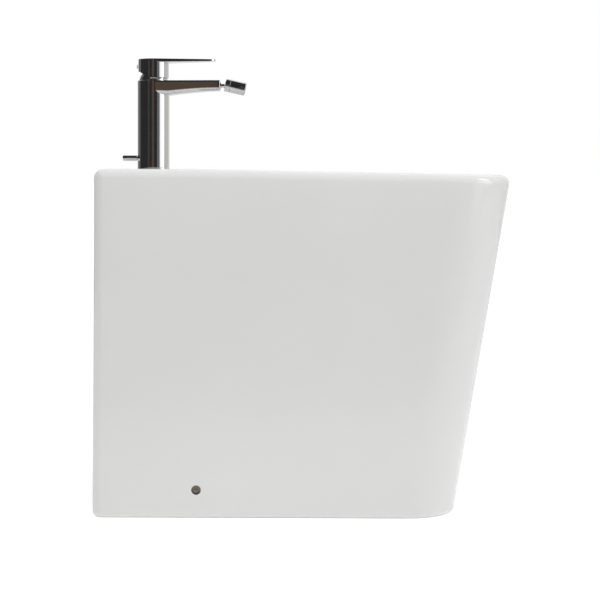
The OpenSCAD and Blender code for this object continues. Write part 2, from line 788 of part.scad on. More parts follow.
module ball_stud() {
    color(chrome_col) at_ball(0) difference() {
        union() {
            sphere(r = ball_r);
            translate([0, 0, -ball_reach]) cylinder(r = neck_r, h = ball_reach);
            translate([0, 0, -ball_reach - 6]) cylinder(r = stud_thread_r - slip, h = 6);
            translate([0, 0, -ball_reach]) cylinder(r = 4.6, h = 1);
        }
        translate([0, 0, -ball_reach - 7]) cylinder(r = 1.5, h = ball_reach + 20);
    }
}

// Points of an arc about the origin in a lathe section, by angle from the axis
function arc(r, from, to, steps) = [for (i = [0:steps]) let (a = mix(from, to, i / steps)) [r * sin(a), r * cos(a)]];

module ball_liner() {
    color(liner_col) at_ball(0) intersection() {
        difference() {
            sphere(r = liner_r);
            sphere(r = ball_r + slip);
        }
        rotate_extrude() polygon([[3.8, 5], [3.8, 8], [10, 8], [10, -8], [8.6, -8], [4.2, -3.4], [4.2, 2]]);
    }
}

module nozzle_collar() {
    r = nozzle_d / 2;
    color(chrome_col) at_ball(nozzle_tilt) difference() {
        rotate_extrude() polygon([[0, -collar_back], [r - 0.5, -collar_back], [r, -collar_back + 0.5],
            [r, collar_front - 0.25], [r - 0.25, collar_front], [0, collar_front]]);
        sphere(r = seat_r);
        translate([0, 0, -collar_back - over]) cylinder(r = sqrt(seat_r * seat_r - collar_back * collar_back),
            h = collar_back);
    }
}

aerator_r = 6.7;
aerator_back = 11.5;
module nozzle_barrel() {
    r = nozzle_d / 2;
    color(chrome_col) at_ball(nozzle_tilt) difference() {
        rotate_extrude() polygon([[0, collar_front], [r - 0.25, collar_front], [r, collar_front + 0.25],
            [r, nozzle_front - 2.4], [r + 0.15, nozzle_front - 2.2], [r + 0.15, nozzle_front - 0.4],
            [r - 0.25, nozzle_front], [0, nozzle_front]]);
        sphere(r = seat_r);
        cylinder(r = 4.4, h = nozzle_front);
        translate([0, 0, 6]) cylinder(r = 5.8, h = 2.6);
        translate([0, 0, aerator_back]) cylinder(r = aerator_r, h = nozzle_front);
    }
}

module nozzle_seal() {
    color(rubber_col) at_ball(nozzle_tilt) difference() {
        translate([0, 0, 7.2]) cylinder(r = 5.75, h = 1.3);
        cylinder(r = 4.4, h = 12);
        sphere(r = seat_r + 0.1);
    }
}

module aerator_insert() {
    front = nozzle_front - 0.5;
    color(plastic_col) at_ball(nozzle_tilt) difference() {
        translate([0, 0, aerator_back]) cylinder(r = aerator_r - slip, h = front - aerator_back);
        translate([0, 0, aerator_back - over]) cylinder(r = 5.4, h = 5 + over);
        translate([0, 0, front - 1.2]) cylinder(r = 5.6, h = 3);
        for (ring = [[0, 1], [2.1, 6], [4.2, 12]], i = [0:ring[1] - 1]) rotate([0, 0, 360 * i / ring[1]])
            translate([ring[0], 0, aerator_back]) cylinder(d = 1.2, h = 20, $fn = 16);
    }
}

head_w = 5;
module popup_knob() {
    r = knob_d / 2;
    color(chrome_col) at_tap() translate([0, rod_offset + head_w / 2, knob_h]) rotate([-90, 0, 0])
        rotate_extrude() polygon([[0, 0], [1.7, 0], [1.7, knob_start], [r - 0.4, knob_start],
            [r, knob_start + 0.4], [r, knob_start + knob_l - 1.2], [r - 1.2, knob_start + knob_l],
            [0, knob_start + knob_l]]);
}
knob_start = column_r + 0.5 - rod_offset - head_w / 2;

module pull_rod() {
    color(steel_col) union() {
        translate([0, rod_y, clip_z + 5]) cylinder(r = rod_r, h = body_h + knob_h - clip_z - 5);
        translate([-head_w / 2, rod_y - head_w / 2, body_h + knob_h - 3.2]) cube([head_w, head_w, 6.4]);
    }
}

clip_w = 12;
clip_screw_d = 4;
clip_screw_rise = 13;
module rod_clip() {
    color(brass_col) difference() {
        translate([-clip_w / 2, rod_y - clip_w / 2, clip_z - 6]) cube([clip_w, clip_w, 26]);
        translate([0, rod_y, clip_z + 5]) cylinder(r = rod_r, h = 40);
        translate([-rod_r - gap, rod_y - clip_w, clip_z - rod_r - 1])
            cube([rod_d + 2 * gap, 2 * clip_w, rod_d + 2]);
        translate([0, rod_y, clip_z + clip_screw_rise]) rotate([0, 90, 0])
            cylinder(d = clip_screw_d, h = clip_w);
    }
}

module clip_screw() {
    color(steel_col) translate([rod_r, rod_y, clip_z + clip_screw_rise]) rotate([0, 90, 0]) {
        cylinder(d = clip_screw_d - 2 * slip, h = clip_w - rod_r - 3);
        translate([0, 0, clip_w - rod_r - 5]) cylinder(r = 4.5, h = 5);
    }
}

// Lever through the waste's side: it tips about its ball, the outer end low at rest
module ball_lever() {
    color(steel_col) translate([0, lever_ball_y, lever_z]) rotate([-90 - lever_swing, 0, 0]) {
        sphere(r = lever_ball_r);
        translate([0, 0, -lever_ball_offset - 4]) cylinder(r = rod_r, h = lever_arm() + lever_ball_offset + 14);
    }
}
lever_ball_r = 6.5;
port_r = lever_ball_r + 0.4;
port_out_r = 12;
lever_way_r = rod_r + 2.7;

// Puts a piece on the side port's axis, measured out from the waste's axis
module at_port() {
    translate([0, drain_y, lever_z]) rotate([-90, 0, 0]) children();
}

port_seat = lever_ball_offset - 7.6;
port_end = lever_ball_offset + 9;

module ball_seal() {
    color(rubber_col) at_port() difference() {
        translate([0, 0, port_seat]) cylinder(r = port_r - slip, h = 2.8);
        cylinder(r = lever_way_r, h = port_end);
    }
}

module ball_nut() {
    nose = lever_ball_offset + 4.9;
    color(chrome_col) at_port() difference() {
        translate([0, 0, lever_ball_offset + 3]) cylinder(r = port_out_r + 3, h = 10, $fn = 6);
        difference() {
            translate([0, 0, lever_ball_offset + 2])
                cylinder(r = port_out_r + slip, h = port_end + gap - lever_ball_offset - 2);
            translate([0, 0, nose]) cylinder(r = port_r - slip, h = port_end);
        }
        cylinder(r = lever_way_r, h = 2 * port_end);
    }
}

seal_t = 0.8;
tube_low_z = lever_z + 13;
slot_l = 10;
slot_h = 12;
slot_top = 18;
module waste_flange() {
    r = flange_d / 2;
    low = tube_low_z - floor_z;
    color(chrome_col) translate([0, drain_y, floor_z]) difference() {
        rotate_extrude() polygon([[tube_bore_r, low], [tube_r, low], [tube_r, seal_t], [r - 0.8, seal_t],
            [r, seal_t + 0.6], [r - 0.8, seal_t + 1.4], [tube_r + 3, seal_t + 1.1], [tube_bore_r, 0.2]]);
        for (turn = [45:90:315]) rotate([0, 0, turn])
            translate([tube_bore_r - 2, -slot_l / 2, -slot_top - slot_h]) cube([8, slot_l, slot_h]);
    }
}

module flange_seal() {
    color(rubber_col) translate([0, drain_y, floor_z]) difference() {
        cylinder(r = flange_d / 2 - 1.5, h = seal_t);
        translate([0, 0, -over]) cylinder(r = drain_d / 2, h = seal_t + 2 * over);
    }
}

lower_seal_t = 6;
lower_seal_r = boss_r - 4;
module waste_lower_seal() {
    color(rubber_col) translate([0, drain_y, boss_z - lower_seal_t]) difference() {
        cylinder(r = lower_seal_r, h = lower_seal_t);
        translate([0, 0, -over]) cylinder(r = tube_r + slip, h = lower_seal_t + 2 * over);
    }
}

body_top_z = boss_z - lower_seal_t;
body_low_z = lever_z - 15;
neck_l = 20;
neck_low_z = body_low_z - neck_l;
neck_out_r = tail_d / 2 + 5;
chamber_out_r = neck_out_r + 5;
chamber_in_r = 17;
collar_out_r = lower_seal_r;
tail_wall = 1.4;
tail_bore_r = tail_d / 2 - tail_wall;
tail_spigot_r = tail_d / 2 - 0.6;
tail_step = 0.5;
tail_grip = 4;
module waste_body() {
    color(chrome_col) difference() {
        union() {
            translate([0, drain_y, 0]) rotate_extrude() polygon([[0, neck_low_z], [neck_out_r, neck_low_z],
                [neck_out_r, body_low_z], [chamber_out_r, body_low_z + 4], [chamber_out_r, body_top_z - 7],
                [collar_out_r, body_top_z - 3], [collar_out_r, body_top_z], [0, body_top_z]]);
            at_port() translate([0, 0, chamber_in_r + 3]) cylinder(r = port_out_r, h = port_end - chamber_in_r - 3);
        }
        translate([0, drain_y, 0]) rotate_extrude() polygon([[0, neck_low_z - over],
            [tail_spigot_r + slip, neck_low_z - over], [tail_spigot_r + slip, tail_top_z],
            [tail_bore_r, tail_top_z], [chamber_in_r, body_low_z + 6], [chamber_in_r, tube_low_z - gap],
            [tube_r + slip, tube_low_z - gap], [tube_r + slip, body_top_z + over], [0, body_top_z + over]]);
        at_port() {
            cylinder(r = lever_way_r, h = port_end + over);
            translate([0, 0, port_seat]) cylinder(r = port_r, h = port_end);
        }
    }
}

nut_h = 20;
nut_floor = 4;
nut_grip_r = 1.6;
nut_z = neck_low_z - nut_floor - tail_grip;
module waste_nut() {
    r = neck_out_r + 4;
    color(chrome_col) translate([0, drain_y, nut_z]) difference() {
        union() {
            cylinder(r = r, h = nut_h);
            for (i = [0:11]) rotate([0, 0, 30 * i]) translate([r, 0, 0])
                cylinder(r = nut_grip_r, h = nut_h, $fn = 16);
        }
        translate([0, 0, nut_floor]) cylinder(r = neck_out_r + slip, h = nut_h);
        translate([0, 0, -over]) cylinder(r = tail_spigot_r + gap, h = nut_h);
    }
}

module tailpiece_seal() {
    color(rubber_col) translate([0, drain_y, nut_z + nut_floor]) difference() {
        cylinder(r = neck_out_r - slip, h = tail_grip);
        translate([0, 0, -over]) cylinder(r = tail_spigot_r + slip, h = tail_grip + 2 * over);
    }
}

tail_top_z = body_low_z - 4;
tail_low_z = nut_z - tail_l;
module tailpiece() {
    color(chrome_col) translate([0, drain_y, tail_low_z]) difference() {
        union() {
            cylinder(d = tail_d, h = nut_z - tail_low_z - tail_step);
            cylinder(r = tail_spigot_r, h = tail_top_z - tail_low_z);
        }
        translate([0, 0, -over]) cylinder(r = tail_bore_r, h = tail_top_z - tail_low_z + 2 * over);
    }
}

// Puts a piece on the waste's axis, lifted to the open rest position of the plug
module at_plug() {
    translate([0, drain_y, plug_closed_z + plug_travel]) children();
}

plug_r = 22;
plug_edge = 2.6;
module plug_cap() {
    color(chrome_col) at_plug() rotate_extrude()
        polygon(concat([[0, 0], [plug_r - 0.6, 0]],
            [for (a = [0:15:90]) [plug_r - plug_edge + plug_edge * cos(a), 0.8 + plug_edge * sin(a)]],
            [[0, 0.8 + plug_edge + 0.4]]));
}

plug_seal_t = 3.4;
stem_head_r = 6;
stem_head_l = 5;
plug_stem_r = 3.5;
fin_t = 2;
fin_l = 16;
fin_start = 4;
fin_gap = 0.8;
eye_r = rod_r + 0.7;
eye_plate_w = 11;
eye_plate_t = 3;
eye_plate_l = 14;
eye_end = 6;
module plug_seal() {
    color(rubber_col) at_plug() difference() {
        translate([0, 0, -plug_seal_t]) cylinder(r = tube_bore_r - gap, h = plug_seal_t);
        translate([0, 0, -plug_seal_t - over]) cylinder(r = stem_head_r, h = plug_seal_t + 2 * over);
    }
}

// Stem with four guide fins in the waste's tube and an eye round the ball lever's end
module plug_stem() {
    drop = plug_closed_z + plug_travel - eye_z;
    fin_w = 2 * (tube_bore_r - fin_gap);
    color(brass_col) at_plug() difference() {
        union() {
            translate([0, 0, -drop - eye_end]) cylinder(r = plug_stem_r, h = drop + eye_end);
            translate([0, 0, -stem_head_l]) cylinder(r = stem_head_r, h = stem_head_l);
            for (turn = [0, 90]) rotate([0, 0, turn]) translate([-fin_w / 2, -fin_t / 2, -fin_start - fin_l])
                cube([fin_w, fin_t, fin_l]);
            translate([-eye_plate_w / 2, -eye_plate_t / 2, -drop - eye_end])
                cube([eye_plate_w, eye_plate_t, eye_plate_l]);
        }
        translate([0, plug_stem_r + over, -drop]) rotate([90, 0, 0])
            cylinder(r = eye_r, h = 2 * plug_stem_r + 2 * over);
    }
}

ceramic_body();
floor_brackets();
side_screws();
tap_body();
tap_base_gasket();
tap_stud();
clamp_rubber();
clamp_plate();
clamp_nut();
cartridge_housing();
cartridge_seals();
fixed_disc();
moving_disc();
disc_carrier();
cartridge_rotor();
pivot_pin();
lever_stem();
cartridge_nut();
bonnet_dome();
handle();
handle_set_screw();
index_button();
ball_stud();
ball_liner();
nozzle_collar();
nozzle_barrel();
aerator_insert();
nozzle_seal();
popup_knob();
pull_rod();
rod_clip();
clip_screw();
ball_lever();
ball_nut();
ball_seal();
waste_flange();
flange_seal();
waste_body();
waste_lower_seal();
waste_nut();
tailpiece_seal();
tailpiece();
plug_cap();
plug_seal();
plug_stem();
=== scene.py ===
# %% [markdown]
# # A floor standing bidet
# The bidet is one glazed casting with a chromed one-hole mixer on its deck and a pop-up waste
# below. The imported frame holds every piece at its real place. It is loaded first, and the box of
# its ceramic body gives the outer sizes of the model.

# %% Load the frame
import json
import math
import bmesh
import bpy
import numpy as np
from mathutils import Matrix, Vector

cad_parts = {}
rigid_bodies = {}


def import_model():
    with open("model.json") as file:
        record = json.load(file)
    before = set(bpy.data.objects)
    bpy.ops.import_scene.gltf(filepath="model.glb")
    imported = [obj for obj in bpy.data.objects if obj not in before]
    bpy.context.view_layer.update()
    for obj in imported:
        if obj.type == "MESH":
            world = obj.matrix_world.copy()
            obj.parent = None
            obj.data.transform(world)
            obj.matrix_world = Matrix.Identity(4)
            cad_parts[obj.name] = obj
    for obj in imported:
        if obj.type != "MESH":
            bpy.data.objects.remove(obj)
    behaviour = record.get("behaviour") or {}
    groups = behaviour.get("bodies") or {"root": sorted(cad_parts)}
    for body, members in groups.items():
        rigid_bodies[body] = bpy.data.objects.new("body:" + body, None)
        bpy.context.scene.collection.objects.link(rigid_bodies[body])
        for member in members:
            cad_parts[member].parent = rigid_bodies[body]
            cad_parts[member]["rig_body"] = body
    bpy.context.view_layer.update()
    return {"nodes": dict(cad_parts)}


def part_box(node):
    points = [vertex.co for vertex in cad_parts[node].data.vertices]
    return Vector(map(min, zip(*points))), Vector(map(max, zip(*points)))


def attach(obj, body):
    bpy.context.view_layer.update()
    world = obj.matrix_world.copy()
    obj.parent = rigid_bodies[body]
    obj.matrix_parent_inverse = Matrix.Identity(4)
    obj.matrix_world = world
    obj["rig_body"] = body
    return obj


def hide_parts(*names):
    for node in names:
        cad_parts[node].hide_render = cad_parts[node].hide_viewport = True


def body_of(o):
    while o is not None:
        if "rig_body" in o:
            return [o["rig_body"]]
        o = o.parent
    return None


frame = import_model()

MM = 0.001

# %% [markdown]
# ## Camera
# The photo looks square at the left side from about 1.9 m away, with the horizon just below the
# rim. The upright edges stay almost parallel. So the lens is tipped down by only two degrees, and
# the rest of the framing is a small shift of the picture, which is how a product photographer keeps
# a box square. The focal length follows from the scale of the near side.

# %% Camera
# Places are in metres and angles in radians, fitted to the outline in the photo.
photo_px = 600
sensor_mm = 36
focal_px = 1664.2
camera_distance = 1.886
camera_height = 0.3866
lens_axis_from_wall = 0.2380
pitch, roll = 0.0353, 0.0035
shift_px = 60
body_low, body_high = (np.array(c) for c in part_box("ceramic_body"))


def placed(name, data):
    """A new object that holds the data, linked into the scene."""
    made = bpy.data.objects.new(name, data)
    bpy.context.scene.collection.objects.link(made)
    return made


camera_data = bpy.data.cameras.new("photo_camera")
camera = placed("photo_camera", camera_data)
bpy.context.scene.camera = camera
camera_data.sensor_width = sensor_mm
camera_data.lens = focal_px / photo_px * sensor_mm
camera_data.shift_y = -shift_px / photo_px
camera_data.clip_end = 800
camera.location = (body_low[0] - camera_distance, body_high[1] - lens_axis_from_wall,
                   camera_height)
camera.rotation_euler = (Matrix.Rotation(-math.pi / 2, 4, "Z")
                         @ Matrix.Rotation(math.pi / 2 - pitch, 4, "X")
                         @ Matrix.Rotation(roll, 4, "Z")).to_euler()
print("lens", round(camera_data.lens, 1), "mm at", [round(v, 3) for v in camera.location])

# %% [markdown]
# ## Shader expressions
# A node graph is easier to read as a sum than as boxes. `Value` wraps one socket, and its operators
# add Math nodes. `Nodes.add` makes any other node from its type, settings and inputs.

# %% Shader helpers
class Value:
    """A number that varies over the surface, as an output socket."""

    def __init__(self, nodes, socket):
        self.nodes, self.socket = nodes, socket

    def math(self, operation, other):
        return self.nodes.add("ShaderNodeMath", {"operation": operation}, {0: self, 1: other})

    def __add__(self, other): return self.math("ADD", other)
    def __radd__(self, other): return self.math("ADD", other)
    def __sub__(self, other): return self.math("SUBTRACT", other)
    def __mul__(self, other): return self.math("MULTIPLY", other)
    def __rmul__(self, other): return self.math("MULTIPLY", other)

    def __rsub__(self, other):
        return self.nodes.add("ShaderNodeMath", {"operation": "SUBTRACT"}, {0: other, 1: self})

    def smooth(self, low, high):
        """0 below low, 1 above high, and a soft step between."""
        return self.nodes.add("ShaderNodeMapRange", {"interpolation_type": "SMOOTHSTEP"},
                              {"Value": self, "From Min": low, "From Max": high})


class Nodes:
    """The node tree of one material or world."""

    def __init__(self, owner):
        owner.use_nodes = True
        self.tree = owner.node_tree
        self.tree.nodes.clear()

    def add(self, kind, settings=None, values=None, out=0):
        """A node of a type: its settings first, then the values or links of its sockets."""
        node = self.tree.nodes.new(kind)
        for name, value in (settings or {}).items():
            setattr(node, name, value)
        for name, value in (values or {}).items():
            if isinstance(value, Value):
                self.tree.links.new(value.socket, node.inputs[name])
            else:
                node.inputs[name].default_value = value
        return Value(self, node.outputs[out] if len(node.outputs) else None)

    def object_place(self):
        return self.add("ShaderNodeTexCoord", out="Object")

    def noise(self, scale, detail):
        return self.add("ShaderNodeTexNoise", None,
                        {"Vector": self.object_place(), "Scale": scale, "Detail": detail})

    def blend(self, mask, a, b):
        """Colour a where the mask is 0 and colour b where it is 1."""
        return self.add("ShaderNodeMix", {"data_type": "RGBA"}, {"Factor": mask, 6: a, 7: b}, out=2)

    def bump(self, height, distance):
        return self.add("ShaderNodeBump", None,
                        {"Height": height, "Distance": distance, "Strength": 1.0})


def surface(name):
    """A material of one Principled shader, with its node tree and the shader's own node."""
    material = bpy.data.materials.new(name)
    nodes = Nodes(material)
    shader = nodes.add("ShaderNodeBsdfPrincipled")
    nodes.add("ShaderNodeOutputMaterial", None, {"Surface": shader})
    return material, nodes, shader.socket.node


def feed(nodes, shader, **sockets):
    """Sets plain values on the shader's own sockets and links the varying ones."""
    for name, value in sockets.items():
        socket = shader.inputs[name.replace("_", " ")]
        if isinstance(value, Value):
            nodes.tree.links.new(value.socket, socket)
        else:
            socket.default_value = value


# %% [markdown]
# ## Glazed ceramic
# Vitreous china is a white clay body under a clear glaze, fired until both flow together. The eye
# reads it by a soft white with a faint cloudiness, a mirror-like glaze that is not quite flat, and
# a bare, sandy foot where the piece stood in the kiln. A picture of glaze could be laid on it, but
# noise in object space needs no unwrapping, and it stays sharp however near the camera comes.

# %% Ceramic material
def glazed_ceramic():
    """A cloudy white under a rippled glaze, with rare specks, and bare clay in the lowest 2 mm."""
    material, nodes, shader = surface("white_glaze")
    cloud = nodes.noise(9.0, 3.0)
    ripple = nodes.noise(26.0, 1.0)
    speck = nodes.noise(900.0, 0.0).smooth(0.80, 0.86)
    height = nodes.add("ShaderNodeSeparateXYZ", None, {"Vector": nodes.object_place()}, out="Z")
    bare_foot = 1 - height.smooth(0.0006, 0.0022)
    white = nodes.blend(cloud, (0.80, 0.80, 0.795, 1), (0.83, 0.83, 0.825, 1))
    white = nodes.blend(speck * 0.06, white, (0.45, 0.43, 0.40, 1))
    white = nodes.blend(bare_foot, white, (0.62, 0.59, 0.54, 1))
    feed(nodes, shader, Base_Color=white, Roughness=0.065 + cloud * 0.05 + bare_foot * 0.6,
         Normal=nodes.bump(ripple, 0.00012), IOR=1.5)
    return material


# %% [markdown]
# ## Chrome, plain metal and plastic
# Chromed brass is a mirror with a slightly cool tint. It shows the studio, so most of its look is
# in what stands round it. A plain metallic shader would do, but the real plating has a very fine
# haze and a faint waviness, and without them its stripes look ruled. The pieces out of sight are
# steel, brass, rubber and plastic. They share two recipes, which take a colour and a roughness.

# %% Chrome and the plain metals
def polished_chrome():
    """A mirror with a cool tint and a haze that vary together, over a slow wave."""
    material, nodes, shader = surface("polished_chrome")
    haze = nodes.noise(140.0, 3.0)
    ripple = nodes.noise(34.0, 1.0)
    tint = nodes.blend(haze, (0.70, 0.705, 0.715, 1), (0.76, 0.765, 0.77, 1))
    feed(nodes, shader, Base_Color=tint, Metallic=1.0, Roughness=0.045 + haze * 0.04,
         Normal=nodes.bump(ripple, 0.00002))
    return material


def worked_metal(name, dark, light, roughness):
    """Turned or drawn metal: fine scratches over a slow stain."""
    material, nodes, shader = surface(name)
    stain = nodes.noise(60.0, 4.0)
    scratch = nodes.noise(1400.0, 1.0)
    feed(nodes, shader, Base_Color=nodes.blend(stain, (*dark, 1), (*light, 1)), Metallic=1.0,
         Roughness=roughness + scratch * 0.14, Normal=nodes.bump(scratch, 0.00001))
    return material


def moulded(name, colour, roughness):
    """Moulded plastic or rubber: one colour with a little mottle and a fine grain."""
    material, nodes, shader = surface(name)
    mottle = nodes.noise(45.0, 3.0)
    grain = nodes.noise(1800.0, 0.0)
    shade = tuple(c * 0.86 for c in colour)
    feed(nodes, shader, Base_Color=nodes.blend(mottle, (*shade, 1), (*colour, 1)),
         Roughness=roughness + mottle * 0.12, Normal=nodes.bump(grain, 0.00002))
    return material


materials = {
    "glaze": glazed_ceramic(),
    "chrome": polished_chrome(),
    "steel": worked_metal("zinc_plated_steel", (0.40, 0.41, 0.42), (0.56, 0.57, 0.58), 0.28),
    "brass": worked_metal("turned_brass", (0.50, 0.37, 0.16), (0.68, 0.53, 0.26), 0.24),
    "rubber": moulded("black_rubber", (0.030, 0.030, 0.032), 0.55),
    "nylon": moulded("grey_nylon", (0.36, 0.37, 0.39), 0.42),
    "acetal": moulded("ivory_acetal", (0.74, 0.73, 0.69), 0.30),
    "oxide": moulded("lapped_ceramic", (0.80, 0.78, 0.72), 0.16),
    "brown": moulded("brown_grey_plastic", (0.25, 0.21, 0.155), 0.45),
    "lens": moulded("grey_gloss_plastic", (0.74, 0.75, 0.77), 0.12),
}
print("materials", sorted(materials))

# %% [markdown]
# ## Surfaces from grids
# Every modelled piece is a grid of points: rows run along the shape and columns go round it. The
# quads between neighbours are worked out once from the grid's size, so a shape is only a formula.

# %% Grid helpers
def ring_quads(rows, columns):
    """Quads of a grid closed round its columns: (r, c), (r, c+1), (r+1, c+1), (r+1, c)."""
    r, c = np.meshgrid(np.arange(rows - 1), np.arange(columns), indexing="ij")
    d = (c + 1) % columns
    corners = [r * columns + c, r * columns + d, (r + 1) * columns + d, (r + 1) * columns + c]
    return np.stack(corners, axis=-1).reshape(-1, 4)


def turn_outwards(mesh):
    """Turns every face of a closed mesh outwards."""
    edit = bmesh.new()
    edit.from_mesh(mesh)
    bmesh.ops.recalc_face_normals(edit, faces=edit.faces)
    edit.to_mesh(mesh)
    edit.free()


def grid_piece(name, grid, closed=False, sharp=35.0):
    """A smooth piece from a (rows, columns, 3) grid: its end rows are capped, or joined to each
    other when closed, and its edges above the sharp angle stay sharp."""
    rows, columns, _ = grid.shape
    here = np.arange(columns)
    beside = (here + 1) % columns
    last = (rows - 1) * columns
    faces = list(ring_quads(rows, columns))
    if closed:
        faces += list(np.stack([last + here, last + beside, beside, here], axis=-1))
    else:
        faces += [here[::-1], last + here]
    mesh = bpy.data.meshes.new(name)
    mesh.from_pydata(grid.reshape(-1, 3).tolist(), [], [f.tolist() for f in faces])
    mesh.validate()
    turn_outwards(mesh)
    piece = placed(name, mesh)
    mesh.shade_smooth()
    mesh.set_sharp_from_angle(angle=math.radians(sharp))
    return piece


# A profile ends this far from its axis, in millimetres, so that a tiny flat cap closes it.
AXIS = 0.01


def lathe(name, profile, segments, matrix, closed=True):
    """A turned piece: each profile point (r, z) becomes a circle, x = r cos a, y = r sin a. A
    closed profile is a loop, and an open one starts and ends at the axis."""
    profile = np.array(profile, float) * MM
    a = np.linspace(0, 2 * np.pi, segments, endpoint=False)
    r, z = profile[:, :1], profile[:, 1:]
    grid = np.stack([r * np.cos(a), r * np.sin(a), z + 0 * a], axis=-1)
    piece = grid_piece(name, grid, closed=closed)
    piece.data.transform(matrix)
    return piece


def arc(centre, radius, start, end, steps=6):
    """Points of an arc in the (r, z) plane, angles in degrees from the r axis."""
    a = np.radians(np.linspace(start, end, steps + 1))
    return list(zip(centre[0] + radius * np.cos(a), centre[1] + radius * np.sin(a)))


def bottom_edge(r, z, edge_r, steps=6):
    """The rounded lower edge of a turned piece: its radius is r and its underside is at z."""
    return arc((r - edge_r, z + edge_r), edge_r, -90, 0, steps)


def top_edge(r, z, edge_r, steps=6):
    """The rounded upper edge of a turned piece: its radius is r and its top is at z."""
    return arc((r - edge_r, z - edge_r), edge_r, 0, 90, steps)


print("a grid of 3 rows and 4 columns has", len(ring_quads(3, 4)), "quads round it")

# %% Cutting and dressing
def carve(piece, cutters, operation="DIFFERENCE"):
    """Cuts, or joins, the piece with each cutter by an exact boolean, keeps the outcome as its
    mesh, and deletes the cutters."""
    for cutter in cutters:
        step = piece.modifiers.new("carve", "BOOLEAN")
        step.operation, step.object, step.solver = operation, cutter, "EXACT"
    bpy.context.view_layer.update()
    graph = bpy.context.evaluated_depsgraph_get()
    mesh = bpy.data.meshes.new_from_object(piece.evaluated_get(graph))
    piece.modifiers.clear()
    piece.data = mesh
    for cutter in cutters:
        bpy.data.objects.remove(cutter, do_unlink=True)


def dress(piece, material, body, *nodes):
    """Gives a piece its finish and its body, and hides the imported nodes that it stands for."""
    piece.data.materials.clear()
    piece.data.materials.append(materials[material])
    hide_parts(*nodes)
    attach(piece, body)
    print(piece.name, len(piece.data.polygons), "faces")


print("finishes to choose from", len(materials))

# %% [markdown]
# ## The ceramic body
# The real casting is one hollow form: the skin climbs from the foot, rolls over the rim, drops into
# the bowl and comes back underneath. It could be boxes with bevels, but slip-cast ware has no flat
# face at all. So each level is a rounded outline, and the section says how outlines follow on.

# %% Sizes of the ceramic
# All in millimetres. The frame gives the outer sizes; x runs across, y to the wall and z up.
body_w = (body_high[0] - body_low[0]) / MM
body_l = (body_high[1] - body_low[1]) / MM
body_h = body_high[2] / MM
foot_setback = 63.0
side_draft = 7.0
rear_lean = 3.0
rim_fall = 5.5
rim_corner_r, foot_corner_r, rear_corner_r = 76.0, 58.0, 12.0
front_bow = 4.0
rim_edge_r, lip_r, foot_r = 11.0, 7.0, 7.0
skirt_wall, deck_wall, bowl_wall, ceiling_ease = 12.0, 18.0, 11.0, 3.0
bowl_from_wall, bowl_w, bowl_depth, front_rim = 126.0, 266.0, 155.0, 46.0
bowl_front_r, bowl_back_r, bowl_floor_r = 112.0, 96.0, 36.0
drain_from_wall = 213.0
rear_y, front_y = body_l / 2, -body_l / 2
drain_y = rear_y - drain_from_wall
floor_z = body_h - bowl_depth
bowl_front_y, bowl_back_y = front_y + front_rim, rear_y - bowl_from_wall
bowl_l, bowl_mid_y = bowl_back_y - bowl_front_y, (bowl_front_y + bowl_back_y) / 2
floor_scale = bowl_floor_r / (bowl_w / 2)
deck_flat_y = bowl_back_y + bowl_wall + ceiling_ease
print("ceramic", [round(float(v), 1) for v in (body_w, body_l, body_h)], "mm, bowl", bowl_w, "by",
      round(float(bowl_l), 1))

# %% Outlines of the ceramic
def mix(a, b, t):
    """A straight blend from a at t = 0 to b at t = 1."""
    return a + (b - a) * t


def rim_level(y):
    """The deck is level at the back and then falls steadily to the front."""
    return body_h - rim_fall * np.clip((deck_flat_y - y) / (deck_flat_y - front_y), 0, 1)


def outlines(half_w, front, back, front_r, back_r, bow):
    """Rounded oblongs, one row for each set of sizes: straight, arc, straight, arc and bowed front
    on the right side, and the same mirrored on the left."""
    half_w, front, back, front_r, back_r = (np.atleast_1d(v)[:, None].astype(float)
                                            for v in np.broadcast_arrays(half_w, front, back,
                                                                         front_r, back_r))
    t = np.linspace(0, 1, 9)[:-1]
    x_back, y_back = (half_w - back_r) * t, back + 0 * t
    a = np.linspace(np.pi / 2, 0, 29)
    x_corner, y_corner = half_w - back_r + back_r * np.cos(a), back - back_r + back_r * np.sin(a)
    s = np.linspace(0, 1, 25)[1:-1]
    x_side, y_side = half_w + 0 * s, mix(back - back_r, front + bow + front_r, s)
    b = np.linspace(0, -np.pi / 2, 37)
    x_turn = half_w - front_r + front_r * np.cos(b)
    y_turn = front + bow + front_r + front_r * np.sin(b)
    u = np.linspace(1, 0, 13)[1:]
    x_front, y_front = (half_w - front_r) * u, front + bow * u * u
    x = np.concatenate([x_back, x_corner, x_side, x_turn, x_front], axis=1)
    y = np.concatenate([y_back, y_corner, y_side, y_turn, y_front], axis=1)
    return (np.concatenate([x, -x[:, -2:0:-1]], axis=1), np.concatenate([y, y[:, -2:0:-1]], axis=1))


def body_outlines(share, inset):
    """Outer form at a share of its height, set in by an amount."""
    share, inset = np.broadcast_arrays(np.atleast_1d(share).astype(float), inset)
    return outlines(body_w / 2 - side_draft * (1 - share) - inset,
                    mix(front_y + foot_setback, front_y, share) + inset,
                    mix(rear_y, rear_y - rear_lean, share) - inset,
                    mix(foot_corner_r, rim_corner_r, share) - inset,
                    np.maximum(rear_corner_r - inset, 3.0), front_bow)


def bowl_outlines(scale, grow):
    """The bowl's mouth, drawn in towards the waste by a scale and grown by an amount."""
    scale, grow = np.broadcast_arrays(np.atleast_1d(scale).astype(float), grow)
    half_w, half_l = bowl_w / 2 * scale + grow, bowl_l / 2 * scale + grow
    mid = mix(drain_y, bowl_mid_y, (scale - floor_scale) / (1 - floor_scale))
    return outlines(half_w, mid - half_l, mid + half_l,
                    np.minimum(bowl_front_r * scale + grow, half_w - 1),
                    np.minimum(bowl_back_r * scale + grow, half_w - 1), 0.0)


print("points in one outline", body_outlines(1, 0)[0].shape[1])

